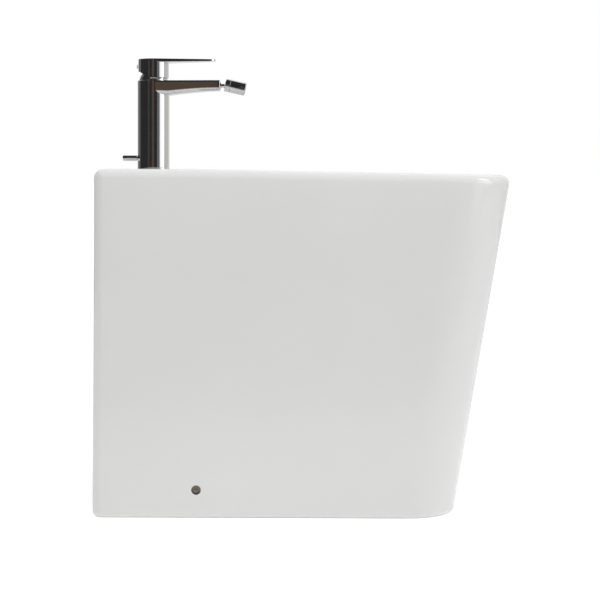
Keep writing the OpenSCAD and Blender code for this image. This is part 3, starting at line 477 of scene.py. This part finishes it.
# %% Heights of the outlines
def at_level(xy, level):
    """An outline laid flat, at one level for each row."""
    x, y = xy
    return np.stack([x, y, np.broadcast_to(np.reshape(level, (-1, 1)), x.shape)], axis=-1)


def below_rim(xy, drop):
    """An outline that follows the rim at a drop below it, one for each row."""
    x, y = xy
    return np.stack([x, y, rim_level(y) - np.reshape(drop, (-1, 1))], axis=-1)


def blend_down(xy, drop, level, t):
    """Heights between a drop below the rim (t = 0) and a flat level (t = 1)."""
    x, y = xy
    return np.stack([x, y, mix(rim_level(y) - drop, level, np.reshape(t, (-1, 1)))], axis=-1)


def drawn_in(row, share):
    """A row pulled in to a share of its distance from the waste's axis, at its own height."""
    return row * [0, 0, 1] + (row - [0, drain_y, 0]) * [share, share, 0] + [0, drain_y, 0]


print("rim falls from", rim_level(rear_y), "to", rim_level(front_y))

# %% Section of the ceramic
# The bowl's wall is a quarter of a superellipse of power 2.5, between a circle and a box.
bowl_power = 2 / 2.5
floor_pad, under_pad = 0.55, 0.45
cove_r, inner_share = 7, 0.94
quarter = np.radians(np.linspace(0, 90, 13))
foot_rows = at_level(body_outlines(0, foot_r * (1 - np.sin(quarter))),
                     foot_r * (1 - np.cos(quarter)))
rise = np.linspace(0, 1, 42)[1:-1]
side_rows = blend_down(body_outlines(rise, 0), rim_edge_r, foot_r, 1 - rise)
edge_rows = below_rim(body_outlines(1, rim_edge_r * (1 - np.cos(quarter))),
                      rim_edge_r * (1 - np.sin(quarter)))
lip_rows = below_rim(bowl_outlines(1, lip_r * (1 - np.sin(quarter))),
                     lip_r * (1 - np.cos(quarter)))
sink = np.radians(np.linspace(0, 90, 61)[1:])
scales = mix(floor_scale, 1, np.cos(sink).clip(0) ** bowl_power)
shares = np.sin(sink) ** bowl_power
bowl_rows = blend_down(bowl_outlines(scales, 0), lip_r, floor_z, shares)
under = np.radians(np.linspace(90, 10, 25))
under_scales = mix(floor_scale, 1, np.cos(under).clip(0) ** bowl_power)
under_rows = blend_down(bowl_outlines(under_scales, bowl_wall), deck_wall, floor_z - bowl_wall,
                        np.sin(under) ** bowl_power)
ceiling_rows = below_rim(bowl_outlines(1, bowl_wall + ceiling_ease), deck_wall)
cove = np.radians(np.linspace(0, 90, 7))
cove_rows = below_rim(body_outlines(inner_share, skirt_wall + cove_r * (1 - np.sin(cove))),
                      deck_wall + cove_r * (1 - np.cos(cove)))
fall = np.linspace(1, 0, 14)[1:]
inner_rows = blend_down(body_outlines(fall * inner_share, skirt_wall), deck_wall + cove_r, 0,
                        1 - fall)
skin = np.concatenate([foot_rows, side_rows, edge_rows, lip_rows, bowl_rows,
                       drawn_in(bowl_rows[-1:], floor_pad), drawn_in(under_rows[:1], under_pad),
                       under_rows, ceiling_rows, cove_rows, inner_rows]) * MM
print("ceramic skin", skin.shape)

# %% [markdown]
# The holes are drilled after the form is made, as the potter punches them in the leather-hard clay:
# the waste, the mixer hole, the overflow, the two side fixings and the open back for the pipes.

# %% Cutters
tap_from_wall, fixing_from_wall, fixing_z = 56, 120, 33.0
boss_drop, overflow_drop = 42, 34
tap_y, fixing_y = rear_y - tap_from_wall, rear_y - fixing_from_wall
boss_z, overflow_z = floor_z - boss_drop, body_h - overflow_drop


def rod(name, radius, start, end, segments=96):
    """A plain cylinder from one point to another, in millimetres."""
    start, end = np.array(start, float), np.array(end, float)
    along = end - start
    length = np.linalg.norm(along)
    z = along / length
    x = np.cross(z, [0, 0, 1.0] if abs(z[2]) < 0.9 else [1.0, 0, 0])
    x /= np.linalg.norm(x)
    y = np.cross(z, x)
    a = np.linspace(0, 2 * np.pi, segments, endpoint=False)[:, None]
    circle = radius * (np.cos(a) * x + np.sin(a) * y)
    return grid_piece(name, np.stack([start + circle, end + circle]) * MM)


def prism(name, outline, start, end, axis):
    """An outline in two axes, pushed straight along the third, in millimetres."""
    outline = np.array(outline, float)
    rows = [np.insert(outline, axis, place, axis=1) for place in (start, end)]
    return grid_piece(name, np.array(rows) * MM)


print("waste", round(float(drain_y), 1), "mixer", round(float(tap_y), 1), "mm from the middle")

# %% Outlines of the duct and the service opening
duct_depth, duct_wall, duct_half = 24, 9, 13
duct_start, duct_knee, duct_bend_z, duct_head = 20, 72, 62, 14


def duct_outline(grow):
    """Side view (y, z) of the overflow duct: low by the waste, then up behind the bowl."""
    foot_z, top_z = boss_z + duct_wall + 2, overflow_z + duct_head
    start_y, knee_y, back_y = drain_y + duct_start, drain_y + duct_knee, bowl_back_y + duct_depth
    return [[start_y, foot_z - grow], [knee_y + grow, foot_z - grow],
            [back_y + grow, floor_z + duct_bend_z], [back_y + grow, top_z + grow],
            [start_y, top_z + grow]]


def service_outline(half_w=132.0, height=300.0, corner_r=30.0):
    """A doorway (x, z) through the back wall: straight jambs and two rounded upper corners."""
    a = np.radians(np.linspace(0, 90, 17))
    right = np.c_[half_w - corner_r + corner_r * np.cos(a),
                  height - corner_r + corner_r * np.sin(a)]
    return np.concatenate([[[half_w, -1]], right, right[::-1] * [-1, 1], [[-half_w, -1]]])


print("doorway", len(service_outline()), "points, duct", len(duct_outline(0)))

# %% Bowl, duct and holes
into_wall = 4
boss_r, waste_hole_r, mixer_hole_r, overflow_r = 38, 23, 17, 9
recess_r, screw_way_r = 5.5, 5.3
outer_x = body_w / 2 - side_draft * (1 - fixing_z / body_h)


def side_rods(name, radius, start, end):
    """A cylinder through each side wall, between two distances outwards from its face."""
    return [rod(f"{name}_{side}", radius, (side * (outer_x + start), fixing_y, fixing_z),
                (side * (outer_x + end), fixing_y, fixing_z)) for side in (-1, 1)]


ceramic = grid_piece("ceramic_shell", skin, closed=True, sharp=40)
inside_wall = blend_down(bowl_outlines(scales, into_wall), lip_r, floor_z - into_wall, shares)
chimney = inside_wall[:1] * [1, 1, 0] + [0, 0, body_h + 20]
bowl_room = grid_piece("bowl_room", np.concatenate([chimney, inside_wall]) * MM)
duct = prism("duct_shell", duct_outline(duct_wall), -duct_half - duct_wall, duct_half + duct_wall,
             0)
carve(duct, [prism("duct_way", duct_outline(0), -duct_half, duct_half, 0), bowl_room])
carve(ceramic, [duct, rod("boss", boss_r, (0, drain_y, boss_z), (0, drain_y, floor_z - 2))],
      "UNION")
carve(ceramic, [
    rod("waste_hole", waste_hole_r, (0, drain_y, boss_z - 2), (0, drain_y, floor_z + 4)),
    prism("duct_mouth", [[-10, boss_z + 12], [10, boss_z + 12], [10, boss_z + 28],
                         [-10, boss_z + 28]], drain_y, drain_y + 42, 1),
    rod("mixer_hole", mixer_hole_r, (0, tap_y, body_h - 30), (0, tap_y, body_h + 4)),
    rod("overflow", overflow_r, (0, bowl_back_y - 30, overflow_z),
        (0, bowl_back_y + 14, overflow_z)),
    *side_rods("recess", recess_r, -5.6, 9),
    *side_rods("screw_way", screw_way_r, -30, -2),
    prism("service_opening", service_outline(), rear_y - 29, rear_y + 4, 1),
])
ceramic.data.set_sharp_from_angle(angle=math.radians(40))
dress(ceramic, "glaze", "base", "ceramic_body")

# %% [markdown]
# ## The mixer casting
# The mixer is cast brass: a plain column, with a spout that leaves it as wide as the column itself,
# so that its upright sides run straight on from the column's. The spout is a loft, because its
# section shrinks in both ways along its length. Its upper edges are crisp and its lower ones well
# rounded, and the underside rises in a shallow curve from the column to the end.

# %% Rings of the spout and the lever
column_r, column_h = 19.8, 110.2
pivot_z = 108.0
spout_reach, end_axis_z = 82.6, 104.3
at_tap = Matrix.Translation((0, tap_y * MM, body_h * MM))


def slab_rings(width, low, high, upper_r, lower_r, along, corner_steps=9):
    """Upright rounded oblongs across the spout or the lever: one ring (x, -along, z) for each
    station, with a radius for the two upper corners and one for the two lower."""
    sizes = np.broadcast_arrays(width, low, high, upper_r, lower_r, along)
    width, low, high, upper_r, lower_r, along = (np.asarray(v, float)[:, None] for v in sizes)
    x, z = [], []
    corners = [(1, -1, high, upper_r), (-1, -1, high, upper_r),
               (-1, 1, low, lower_r), (1, 1, low, lower_r)]
    for q, (out, inward, level, radius) in enumerate(corners):
        turn = np.linspace(q * np.pi / 2, (q + 1) * np.pi / 2, corner_steps)
        x.append(out * (width / 2 - radius) + radius * np.cos(turn))
        z.append(level + inward * radius + radius * np.sin(turn))
    x, z = np.concatenate(x, axis=1), np.concatenate(z, axis=1)
    return np.stack([x, -along + 0 * x, z], axis=-1)


print("column", 2 * column_r, "wide and", column_h, "high, spout", spout_reach, "long")

# %% Spout
spout_root_w, spout_end_w = 39.6, 25.0
spout_root_top, spout_end_top = 109.95, 111.0
spout_end_low, spout_sag = 97.7, 5.6
upper_r, lower_root_r, lower_end_r, end_r = 2.6, 6.4, 4.4, 0.8
along = np.concatenate([np.linspace(1, 34, 44), np.linspace(34, spout_reach - end_r, 30)[1:]])
share = along / spout_reach
to_column = ((spout_reach - along) / (spout_reach - column_r)).clip(0, 1)
low = spout_end_low - spout_sag * to_column ** 1.6
high = mix(spout_root_top, spout_end_top, share)
spout_w = mix(spout_root_w, spout_end_w, share)
# Three more rings, each set in a little further, round off the end.
turn = np.radians([30, 60, 90])
along = np.concatenate([along, spout_reach - end_r + end_r * np.sin(turn)])
inset = np.concatenate([0 * share, end_r * (1 - np.cos(turn))])
low, high, spout_w = (np.concatenate([v, np.full(3, v[-1])]) for v in (low, high, spout_w))
spout_rings = slab_rings(spout_w - 2 * inset, low + inset, high - inset, upper_r - inset,
                         mix(lower_root_r, lower_end_r, along / spout_reach) - inset, along)
spout = grid_piece("spout", spout_rings * MM, sharp=50)
spout.data.transform(at_tap)
print("spout", spout_rings.shape)

# %% Column
casting_foot, column_edge_r = 0.3, 0.8
column_profile = ([(AXIS, casting_foot), (column_r - column_edge_r, casting_foot)]
                  + bottom_edge(column_r, casting_foot, column_edge_r)
                  + [(column_r, z) for z in np.linspace(4, 106, 18)]
                  + top_edge(column_r, column_h, column_edge_r) + [(AXIS, column_h)])
casting = lathe("mixer_casting", column_profile, 160, at_tap, closed=False)
carve(casting, [spout], "UNION")
print("column and spout", len(casting.data.vertices), "points")

# %% Ways through the casting
knob_h, knob_travel, rod_offset = 14.7, 25.0, 12.5
pocket_r, pocket_floor = 17.5, 60
inlet_x, inlet_y, inlet_thread_r, inlet_way_r = 8.5, -1, 5, 3
stud_y, stud_hole_r, rod_room_r, slot_half = -12, 4, 3.8, 2.2


def tap_rod(name, radius, start, end, segments=64):
    """A plain cylinder placed from the deck at the mixer's axis."""
    piece = rod(name, radius, start, end, segments)
    piece.data.transform(at_tap)
    return piece


slot_low, slot_high = knob_h - slot_half, knob_h + knob_travel + slot_half
knob_slot = prism("knob_slot", [[-slot_half, slot_low], [slot_half, slot_low],
                                [slot_half, slot_high], [-slot_half, slot_high]],
                  rod_offset, rod_offset + 20, 1)
knob_slot.data.transform(at_tap)
inlets = [("hot", -inlet_x), ("cold", inlet_x)]
carve(casting, [
    tap_rod("pocket", pocket_r, (0, 0, pocket_floor), (0, 0, 120), 128),
    *(tap_rod(f"{name}_thread", inlet_thread_r, (x, inlet_y, -1), (x, inlet_y, 12))
      for name, x in inlets),
    *(tap_rod(f"{name}_way", inlet_way_r, (x, inlet_y, 11), (x, inlet_y, pocket_floor + 2))
      for name, x in inlets),
    tap_rod("stud_hole", stud_hole_r, (0, stud_y, -1), (0, stud_y, 15)),
    tap_rod("rod_room", rod_room_r, (0, rod_offset, -1),
            (0, rod_offset, knob_h + knob_travel + 7)),
    knob_slot,
])
casting.data.set_sharp_from_angle(angle=math.radians(35))
dress(casting, "chrome", "base", "tap_body")

# %% [markdown]
# ## Handle and bonnet
# The handle is a die-cast cap with a thin lever in one piece. The lever leaves the cap at the cap's
# full width and narrows to its tip, so that from the side its dark face runs on from the cap. The
# cap's underside is cut off on a slant at the back, so that it can tip over the domed bonnet. A
# ball-shaped hollow inside clears the dome.

# %% Cap
cap_r, handle_top, cap_edge_r, cap_bevel = 19.1, 136.7, 0.9, 0.4
cap_front_z = column_h + 3.1
cap_profile = ([(AXIS, cap_front_z), (cap_r - cap_bevel, cap_front_z),
                (cap_r, cap_front_z + cap_bevel)]
               + [(cap_r, z) for z in np.linspace(115, 135, 8)]
               + top_edge(cap_r, handle_top, cap_edge_r) + [(AXIS, handle_top)])
cap = lathe("handle_casting", cap_profile, 160, at_tap, closed=False)
print("cap", 2 * cap_r, "wide, its top", handle_top, "above the deck")

# %% Lever
lever_reach, lever_start, lever_tip_r = 76.9, 2, 8.0
lever_root_w, lever_tip_w = 37.4, 16.0
lever_root_t, lever_tip_t, thinning_start = 4.4, 2.4, 11
tip_start = lever_reach - lever_tip_r
reach = np.concatenate([np.linspace(lever_start, tip_start, 28),
                        tip_start + lever_tip_r * np.sin(np.radians(np.linspace(8, 88, 11)))])
taper = np.clip((reach - lever_start) / (tip_start - lever_start), 0, 1)
thinning = np.clip((reach - thinning_start) / (lever_reach - thinning_start), 0, 1)
beyond = np.clip(reach - tip_start, 0, None)
tip_round = np.sqrt(np.clip(1 - (beyond / lever_tip_r) ** 2, 0, 1))
lever_w = mix(lever_root_w, lever_tip_w, taper) * tip_round
lever_t = mix(lever_root_t, lever_tip_t, thinning)
lever_corner = np.minimum(0.14 * lever_t, 0.48 * lever_w)
lever_rings = slab_rings(lever_w, handle_top - lever_t, np.full_like(reach, handle_top),
                         lever_corner, lever_corner, reach, 6)
lever = grid_piece("lever_blade", lever_rings * MM, sharp=50)
lever.data.transform(at_tap)
carve(cap, [lever], "UNION")
print("lever", lever_rings.shape)

# %% Cuts in the handle
hollow_r, index_hole_r, index_z, button_seat = 18.4, 2.5, 127.6, 3.2
heel_y, heel_z, heel_slope = 4.2, column_h + 3.6, math.radians(28.8)
uphill = np.array([math.cos(heel_slope), math.sin(heel_slope)])
heel_low, heel_high = [heel_y, heel_z] - 6 * uphill, [heel_y, heel_z] + 40 * uphill
heel = prism("heel_cut", [heel_low, heel_high, [60, heel_z - 40], [heel_low[0], heel_z - 40]],
             -40, 40, 0)
heel.data.transform(at_tap)
ball = [(max(r, AXIS), z) for r, z in arc((0, pivot_z), hollow_r, -90, 90, 64)]
hollow = lathe("hollow", ball, 128, at_tap, closed=False)
index_hole = tap_rod("index_hole", index_hole_r, (0, cap_r - button_seat, index_z),
                     (0, cap_r + 4, index_z))
carve(cap, [hollow, heel, index_hole])
cap.data.set_sharp_from_angle(angle=math.radians(35))
dress(cap, "chrome", "lever", "handle")

# %% [markdown]
# ## Bonnet, button and knob
# The domed bonnet hides the cartridge's nut, the button covers the handle's set screw, and the knob
# works the pop-up waste. The real ones are turned, so each is a section swept round its axis. The
# same section could be a curve with a Screw modifier, but as numbers its small edge radii can be
# set one by one. They matter most here, because they catch the light.

# %% Bonnet
dome_r, mouth_r, skirt_r, dome_wall, skirt_low = 18.0, 13.6, 17.45, 1.6, 107.3
dome_start = math.degrees(math.asin((column_h - pivot_z) / dome_r))
dome_end = math.degrees(math.acos(mouth_r / dome_r))
bonnet_profile = (arc((0, pivot_z), dome_r, dome_start, dome_end - 1.5, 16)
                  + arc((0, pivot_z), dome_r - dome_wall, dome_end, 8, 12)
                  + [(skirt_r - dome_wall, 109), (skirt_r - dome_wall, skirt_low),
                     (skirt_r, skirt_low), (skirt_r, column_h - 0.05)])
bonnet = lathe("bonnet_cover", bonnet_profile, 144, at_tap)
dress(bonnet, "chrome", "base", "bonnet_dome")

# %% Button and knob
knob_r, knob_l, knob_gap, shank_r, pull_rod_r = 3.45, 17.8, 0.5, 1.7, 2.5
knob_back = column_r + knob_gap - rod_offset - pull_rod_r


def facing(y, z, degrees):
    """The matrix that tips a lathe piece about X and takes it to (0, y, z), in mm from the deck."""
    return (at_tap @ Matrix.Translation((0, y * MM, z * MM))
            @ Matrix.Rotation(math.radians(degrees), 4, "X"))


button_profile = ([(AXIS, 0), (2.4, 0), (2.45, 0.1), (2.45, 4.2)]
                  + arc((1.8, 4.2), 0.65, 0, 80, 6) + [(1.0, 4.95), (AXIS, 5.0)])
button = lathe("index_lens", button_profile, 64, facing(cap_r - button_seat, index_z, -90),
               closed=False)
dress(button, "lens", "lever", "index_button")
knob_profile = ([(AXIS, 0), (shank_r, 0), (shank_r, knob_back), (knob_r - 0.4, knob_back)]
                + bottom_edge(knob_r, knob_back, 0.4, 4)
                + [(knob_r, knob_back + z) for z in (2, 6, 10, 14)]
                + top_edge(knob_r, knob_back + knob_l, 1.2, 8) + [(AXIS, knob_back + knob_l)])
knob = lathe("lift_knob", knob_profile, 96, facing(rod_offset + pull_rod_r, knob_h, -90),
             closed=False)
dress(knob, "chrome", "popup", "popup_knob")

# %% [markdown]
# ## Nozzle
# The nozzle is a stud with a ball, screwed into the spout's end, and a collar and barrel that
# swivel on it. The seat inside them could be cut out with a boolean. As part of the turned profile
# it is exactly round and leaves no stray faces.

# %% Ball of the nozzle
ball_y, ball_reach, nozzle_tilt = -93.7, 11.1, 12.4
ball_r, neck_r, stud_bore_r, stud_thread_r = 6.0, 2.5, 1.5, 4.45
stud_profile = ([(stud_bore_r, 5.8)] + arc((0, 0), ball_r, 76, -64, 24)
                + [(neck_r, -5.6), (neck_r, -ball_reach + 1), (4.4, -ball_reach + 1),
                   (4.6, -ball_reach + 0.8), (4.6, -ball_reach), (stud_thread_r, -ball_reach),
                   (stud_thread_r, -ball_reach - 6), (stud_bore_r, -ball_reach - 6)])
stud = lathe("nozzle_ball", stud_profile, 96, facing(ball_y, end_axis_z, 90))
dress(stud, "chrome", "base", "ball_stud")

# %% Collar and barrel
nozzle_r, collar_back, collar_front, tip_z = 8.15, -4.9, 1.4, 20.3
seat_r, tip_band, tip_bore_r, nozzle_bore_r = 7.25, 0.12, 6.7, 4.4
ball_tilted = facing(ball_y, end_axis_z, 90 + nozzle_tilt)


def ball_seat(distances):
    """Points (r, z) of the round seat, where r and z lie on a circle about the ball's centre."""
    return [(math.sqrt(seat_r ** 2 - z ** 2), z) for z in distances]


collar_profile = (ball_seat([collar_back]) + [(nozzle_r - 0.6, collar_back)]
                  + bottom_edge(nozzle_r, collar_back, 0.6)
                  + [(nozzle_r, collar_front - 0.3)]
                  + arc((nozzle_r - 0.3, collar_front - 0.3), 0.3, 10, 90, 4)
                  + ball_seat(np.linspace(collar_front, collar_back, 14)[:-1]))
collar = lathe("nozzle_ring", collar_profile, 128, ball_tilted)
dress(collar, "chrome", "nozzle", "nozzle_collar")
barrel_profile = (ball_seat([collar_front]) + [(nozzle_r - 0.3, collar_front)]
                  + bottom_edge(nozzle_r, collar_front, 0.3, 4)
                  + [(nozzle_r, tip_z - 2.5), (nozzle_r + tip_band, tip_z - 2.3),
                     (nozzle_r + tip_band, tip_z - 0.5)]
                  + top_edge(nozzle_r + tip_band, tip_z, 0.4, 5)
                  + [(tip_bore_r, tip_z), (tip_bore_r, 11.5), (nozzle_bore_r, 11.5),
                     (nozzle_bore_r, 5.76)]
                  + ball_seat(np.linspace(5.7, collar_front, 10)[:-1]))
barrel = lathe("nozzle_sleeve", barrel_profile, 128, ball_tilted)
dress(barrel, "chrome", "nozzle", "nozzle_barrel")

# %% [markdown]
# ## Waste flange and plug
# The flange is the bright ring at the bottom of the bowl. Its tube has four slots, through which
# the overflow's water joins the waste. Ring and tube are turned, and the slots are cut afterwards,
# as a real one is made. The plug stands open at rest.

# %% Waste flange
at_drain = Matrix.Translation((0, drain_y * MM, floor_z * MM))
tube_r, tube_bore_r, tube_l, flange_r = 21.0, 18.5, 67, 31.0
slot_outline = [[-5, -30], [5, -30], [5, -18], [-5, -18]]
flange_profile = ([(tube_bore_r, -tube_l), (tube_r, -tube_l), (tube_r, 0.8),
                   (flange_r - 0.8, 0.8)]
                  + arc((flange_r - 0.7, 1.4), 0.6, -60, 90, 8)
                  + [(tube_r + 4, 1.95), (tube_r + 1.4, 1.6), (tube_bore_r + 0.8, 0.7),
                     (tube_bore_r, -0.4)])
flange = lathe("flange_ring", flange_profile, 144, at_drain)
slots = []
for side in range(4):
    slot = prism(f"slot_{side}", slot_outline, tube_bore_r - 2, tube_r + 3, 1)
    slot.data.transform(at_drain @ Matrix.Rotation(math.pi / 4 + side * math.pi / 2, 4, "Z"))
    slots.append(slot)
carve(flange, slots)
flange.data.set_sharp_from_angle(angle=math.radians(35))
dress(flange, "chrome", "base", "waste_flange")

# %% Plug
# At rest the plug is up, by the knob's travel times the ratio of the ball lever's two arms.
plug_shut_z, short_arm, long_arm = 3, 33, 136.5
plug_z = plug_shut_z + knob_travel * short_arm / long_arm
plug_profile = ([(AXIS, 0), (21.4, 0), (22.0, 0.5)] + arc((19.4, 0.8), 2.6, 6, 84, 12)
                + [(14, 3.62), (8, 3.76), (AXIS, 3.8)])
plug = lathe("plug_disc", plug_profile, 144,
             at_drain @ Matrix.Translation((0, 0, plug_z * MM)), closed=False)
dress(plug, "chrome", "plug", "plug_cap")

# %% [markdown]
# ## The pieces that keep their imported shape
# Brackets, screws, seals, the cartridge and the linkage are already the right shape. Each gets a
# merged copy, shaded smooth except across its real edges, and a finish of its own.

# %% Copies with finishes
finishes = {
    "steel": ["tap_stud", "clamp_plate", "pivot_pin", "lever_stem", "handle_set_screw",
              "pull_rod", "clip_screw", "ball_lever"],
    "brass": ["clamp_nut", "cartridge_nut", "rod_clip", "plug_stem"],
    "rubber": ["tap_base_gasket", "clamp_rubber", "cartridge_seals", "nozzle_seal", "ball_seal",
               "flange_seal", "waste_lower_seal", "tailpiece_seal", "plug_seal"],
    "nylon": ["floor_brackets", "cartridge_housing", "disc_carrier", "cartridge_rotor",
              "aerator_insert"],
    "oxide": ["fixed_disc", "moving_disc"],
    "acetal": ["ball_liner"],
    "brown": ["side_screws"],
    "chrome": ["ball_nut", "waste_body", "waste_nut", "tailpiece"],
}
merge_distance, flat_angle, edge_angle = 2e-6, 0.5, 30


def merged_copy(node):
    """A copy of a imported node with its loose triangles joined, smooth but for its real edges."""
    edit = bmesh.new()
    edit.from_mesh(frame["nodes"][node].data)
    bmesh.ops.remove_doubles(edit, verts=edit.verts, dist=merge_distance)
    bmesh.ops.dissolve_limit(edit, angle_limit=math.radians(flat_angle), verts=edit.verts,
                             edges=edit.edges)
    mesh = bpy.data.meshes.new(node + "_finished")
    edit.to_mesh(mesh)
    edit.free()
    piece = placed(node + "_finished", mesh)
    mesh.shade_smooth()
    mesh.set_sharp_from_angle(angle=math.radians(edge_angle))
    return piece


for finish, names in finishes.items():
    for node in names:
        dress(merged_copy(node), finish, body_of(frame["nodes"][node])[0], node)

# %% [markdown]
# ## Studio
# The photo is a cut-out on white: big soft lamps, a white sweep, and a dark room on the camera's
# side that shows as the dark band in the chrome. Chrome has no colour of its own, so its stripes
# are made by cards around the object: near black and brown on the camera's side, one bright strip,
# and pale ones towards the front and beyond, which also keep the glaze light along its outline. A
# dark ceiling sheet stands above. Only mirror rays see the cards, so they take no light from the
# object. Each glows by itself, so the lamps can be changed without changing the stripes. Three
# lamps are hidden from mirror rays for the same reason: as white patches in the chrome they would
# break its dark band.

# %% Sheets
def stage_material(name, glow):
    """Black card with a glow of its own, so that the lamps don't change how bright it mirrors."""
    material, nodes, shader = surface(name)
    grain = nodes.noise(3.0, 2.0)
    black = nodes.blend(grain, (0.016, 0.016, 0.016, 1), (0.02, 0.02, 0.02, 1))
    feed(nodes, shader, Base_Color=black, Roughness=0.9, Emission_Color=(*glow, 1),
         Emission_Strength=1.0)
    return material


def stage_sheet(name, corners, material):
    """A flat card, floor or wall between four corners, in metres."""
    mesh = bpy.data.meshes.new(name)
    mesh.from_pydata([tuple(c) for c in corners], [], [(0, 1, 2, 3)])
    mesh.materials.append(material)
    sheet = placed(name, mesh)
    return sheet


def only_mirrored(sheet):
    """Shows a sheet to mirror rays and to no others."""
    sheet.visible_camera = sheet.visible_diffuse = sheet.visible_shadow = False
    sheet.visible_transmission = False


def sweep_material():
    """A pale floor lit from below like a light table: fully white far off, less near the object,
    so that the lamps still lay a soft shadow there. In mirror rays its glow ends on the camera's
    side, where the dark room begins, which puts the soft step low on the glazed side as in the
    photo."""
    material, nodes, shader = surface("pale_sweep")
    place = nodes.object_place()
    far = nodes.add("ShaderNodeVectorMath", {"operation": "LENGTH"}, {0: place}, out="Value")
    viewed = nodes.add("ShaderNodeLightPath", out="Is Camera Ray")
    mirrored = nodes.add("ShaderNodeLightPath", out="Is Glossy Ray")
    own_glow = 0.28 - far.smooth(0.28, 0.75) * 0.08
    white_far_off = (far.smooth(0.4, 1.2) * 0.55 + 0.30) * viewed
    glow = own_glow + white_far_off + mirrored * 0.28
    across = nodes.add("ShaderNodeSeparateXYZ", None, {"Vector": place}, out="X")
    room_side = (0 - across).smooth(0.72, 1.0)
    glow = glow * (1 - mirrored * room_side)
    grain = nodes.noise(3.0, 2.0)
    pale = nodes.blend(grain, (0.88, 0.88, 0.88, 1), (0.90, 0.90, 0.90, 1))
    grey_glow = nodes.add("ShaderNodeCombineXYZ", None, {0: glow, 1: glow, 2: glow})
    feed(nodes, shader, Base_Color=pale, Roughness=0.9, Specular_IOR_Level=0.0,
         Emission_Color=grey_glow, Emission_Strength=1.0)
    return material


# %% Floor and world
floor_reach, ambient = 400, 0.315
stage_sheet("floor", [(-floor_reach, -floor_reach, 0), (floor_reach, -floor_reach, 0),
                      (floor_reach, floor_reach, 0), (-floor_reach, floor_reach, 0)],
            sweep_material())
world = bpy.data.worlds.new("white_studio")
bpy.context.scene.world = world
sky = Nodes(world)
camera_ray = sky.add("ShaderNodeLightPath", out="Is Camera Ray")
glossy_ray = sky.add("ShaderNodeLightPath", out="Is Glossy Ray")
clear_ray = sky.add("ShaderNodeLightPath", out="Is Transmission Ray")
seen = (camera_ray + glossy_ray + clear_ray).math("MINIMUM", 1.0)
background = sky.add("ShaderNodeBackground", None,
                     {"Color": (1, 1, 1, 1), "Strength": ambient + seen * (1 - ambient)})
sky.add("ShaderNodeOutputWorld", None, {"Surface": background})
print("floor", 2 * floor_reach, "m across, light from all round", ambient)

# %% Cards
card_top = 3.2


def card(name, azimuth, half_width, distance, glow, top=card_top):
    """A card that stands on the floor at a distance from the mixer, seen only by mirror rays.
    Azimuth is in degrees from the camera's side towards the front."""
    a = math.radians(180 + azimuth)
    centre = np.array([math.cos(a), math.sin(a), 0]) * distance + [0, tap_y * MM, 0]
    side = np.array([-math.sin(a), math.cos(a), 0]) * half_width
    up = np.array([0, 0, top])
    only_mirrored(stage_sheet(name, [centre - side, centre + side, centre + side + up,
                                     centre - side + up], stage_material(name, glow)))


for i, azimuth in enumerate(range(-92, 24, 19)):
    card(f"dark_card_{i}", azimuth, 0.62, 3.0, (0.008, 0.008, 0.008))
card("dim_card", -30, 0.30, 2.9, (0.045, 0.042, 0.038))
card("brown_card", 1, 0.40, 2.8, (0.080, 0.048, 0.032), top=1.6)
card("grey_card", 40, 0.50, 2.9, (0.14, 0.145, 0.15))
card("strip_card", 61, 0.36, 2.6, (1.2, 1.2, 1.2), top=0.85)
card("pale_card_front", 94, 1.40, 3.1, (0.60, 0.59, 0.57))
card("pale_card_back", 128, 0.62, 3.1, (0.62, 0.60, 0.55))
card("grey_card_wall", -121, 1.1, 3.1, (0.14, 0.13, 0.12))
card("pale_card_beyond", 178, 3.0, 3.6, (0.80, 0.80, 0.80))
only_mirrored(stage_sheet("dark_ceiling", [(-5, -5, card_top), (1.2, -5, card_top),
                                           (1.2, 5, card_top), (-5, 5, card_top)],
                          stage_material("dark_ceiling", (0.012, 0.012, 0.012))))

# %% Spark on the rim
rim_front_corner = np.array([-0.15, -0.20, 0.39])


def glint(name, azimuth, elevation, half_width, half_height, distance, glow):
    """A small bright card, square to the line from the rim's front corner, so that it makes one
    spark there."""
    a, e = math.radians(azimuth), math.radians(elevation)
    ray = np.array([-math.cos(a) * math.cos(e), -math.sin(a) * math.cos(e), math.sin(e)])
    across = np.array([math.sin(a), -math.cos(a), 0.0]) * half_width
    up = np.cross(ray, across / half_width) * half_height
    centre = rim_front_corner + ray * distance
    only_mirrored(stage_sheet(name, [centre - across - up, centre + across - up,
                                     centre + across + up, centre - across + up],
                              stage_material(name, (glow, glow, glow))))


glint("glint_front", 87, 39.5, 0.15, 0.46, 2.4, 8.0)


# %% Lamps
def softbox(name, place, aim, width, height, power):
    """A rectangular lamp of a power in watts at a place, turned to face another."""
    data = bpy.data.lights.new(name, "AREA")
    data.shape, data.size, data.size_y, data.energy = "RECTANGLE", width, height, power
    lamp = placed(name, data)
    lamp.location = place
    direction = np.array(aim, float) - np.array(place, float)
    lamp.rotation_euler = Vector(direction).to_track_quat("-Z", "Y").to_euler()
    return lamp


softbox("overhead", (0.35, -0.1, 2.4), (0.1, 0, 0.4), 1.6, 2.4, 12.6).visible_glossy = False
softbox("high_side", (-0.62, -0.05, 1.22), (-0.18, 0, 0.38), 1.8, 0.4, 6.9).visible_glossy = False
softbox("front_fill", (-0.8, -2.6, 1.0), (0, 0, 0.3), 1.2, 1.4, 11.8)
softbox("wall_fill", (-1.0, 2.4, 0.8), (0, 0.2, 0.25), 1.0, 1.2, 3.2).visible_glossy = False
bpy.context.scene.view_settings.view_transform = "Standard"
print("lamps", [(lamp.name, round(lamp.energy, 1)) for lamp in bpy.data.lights])
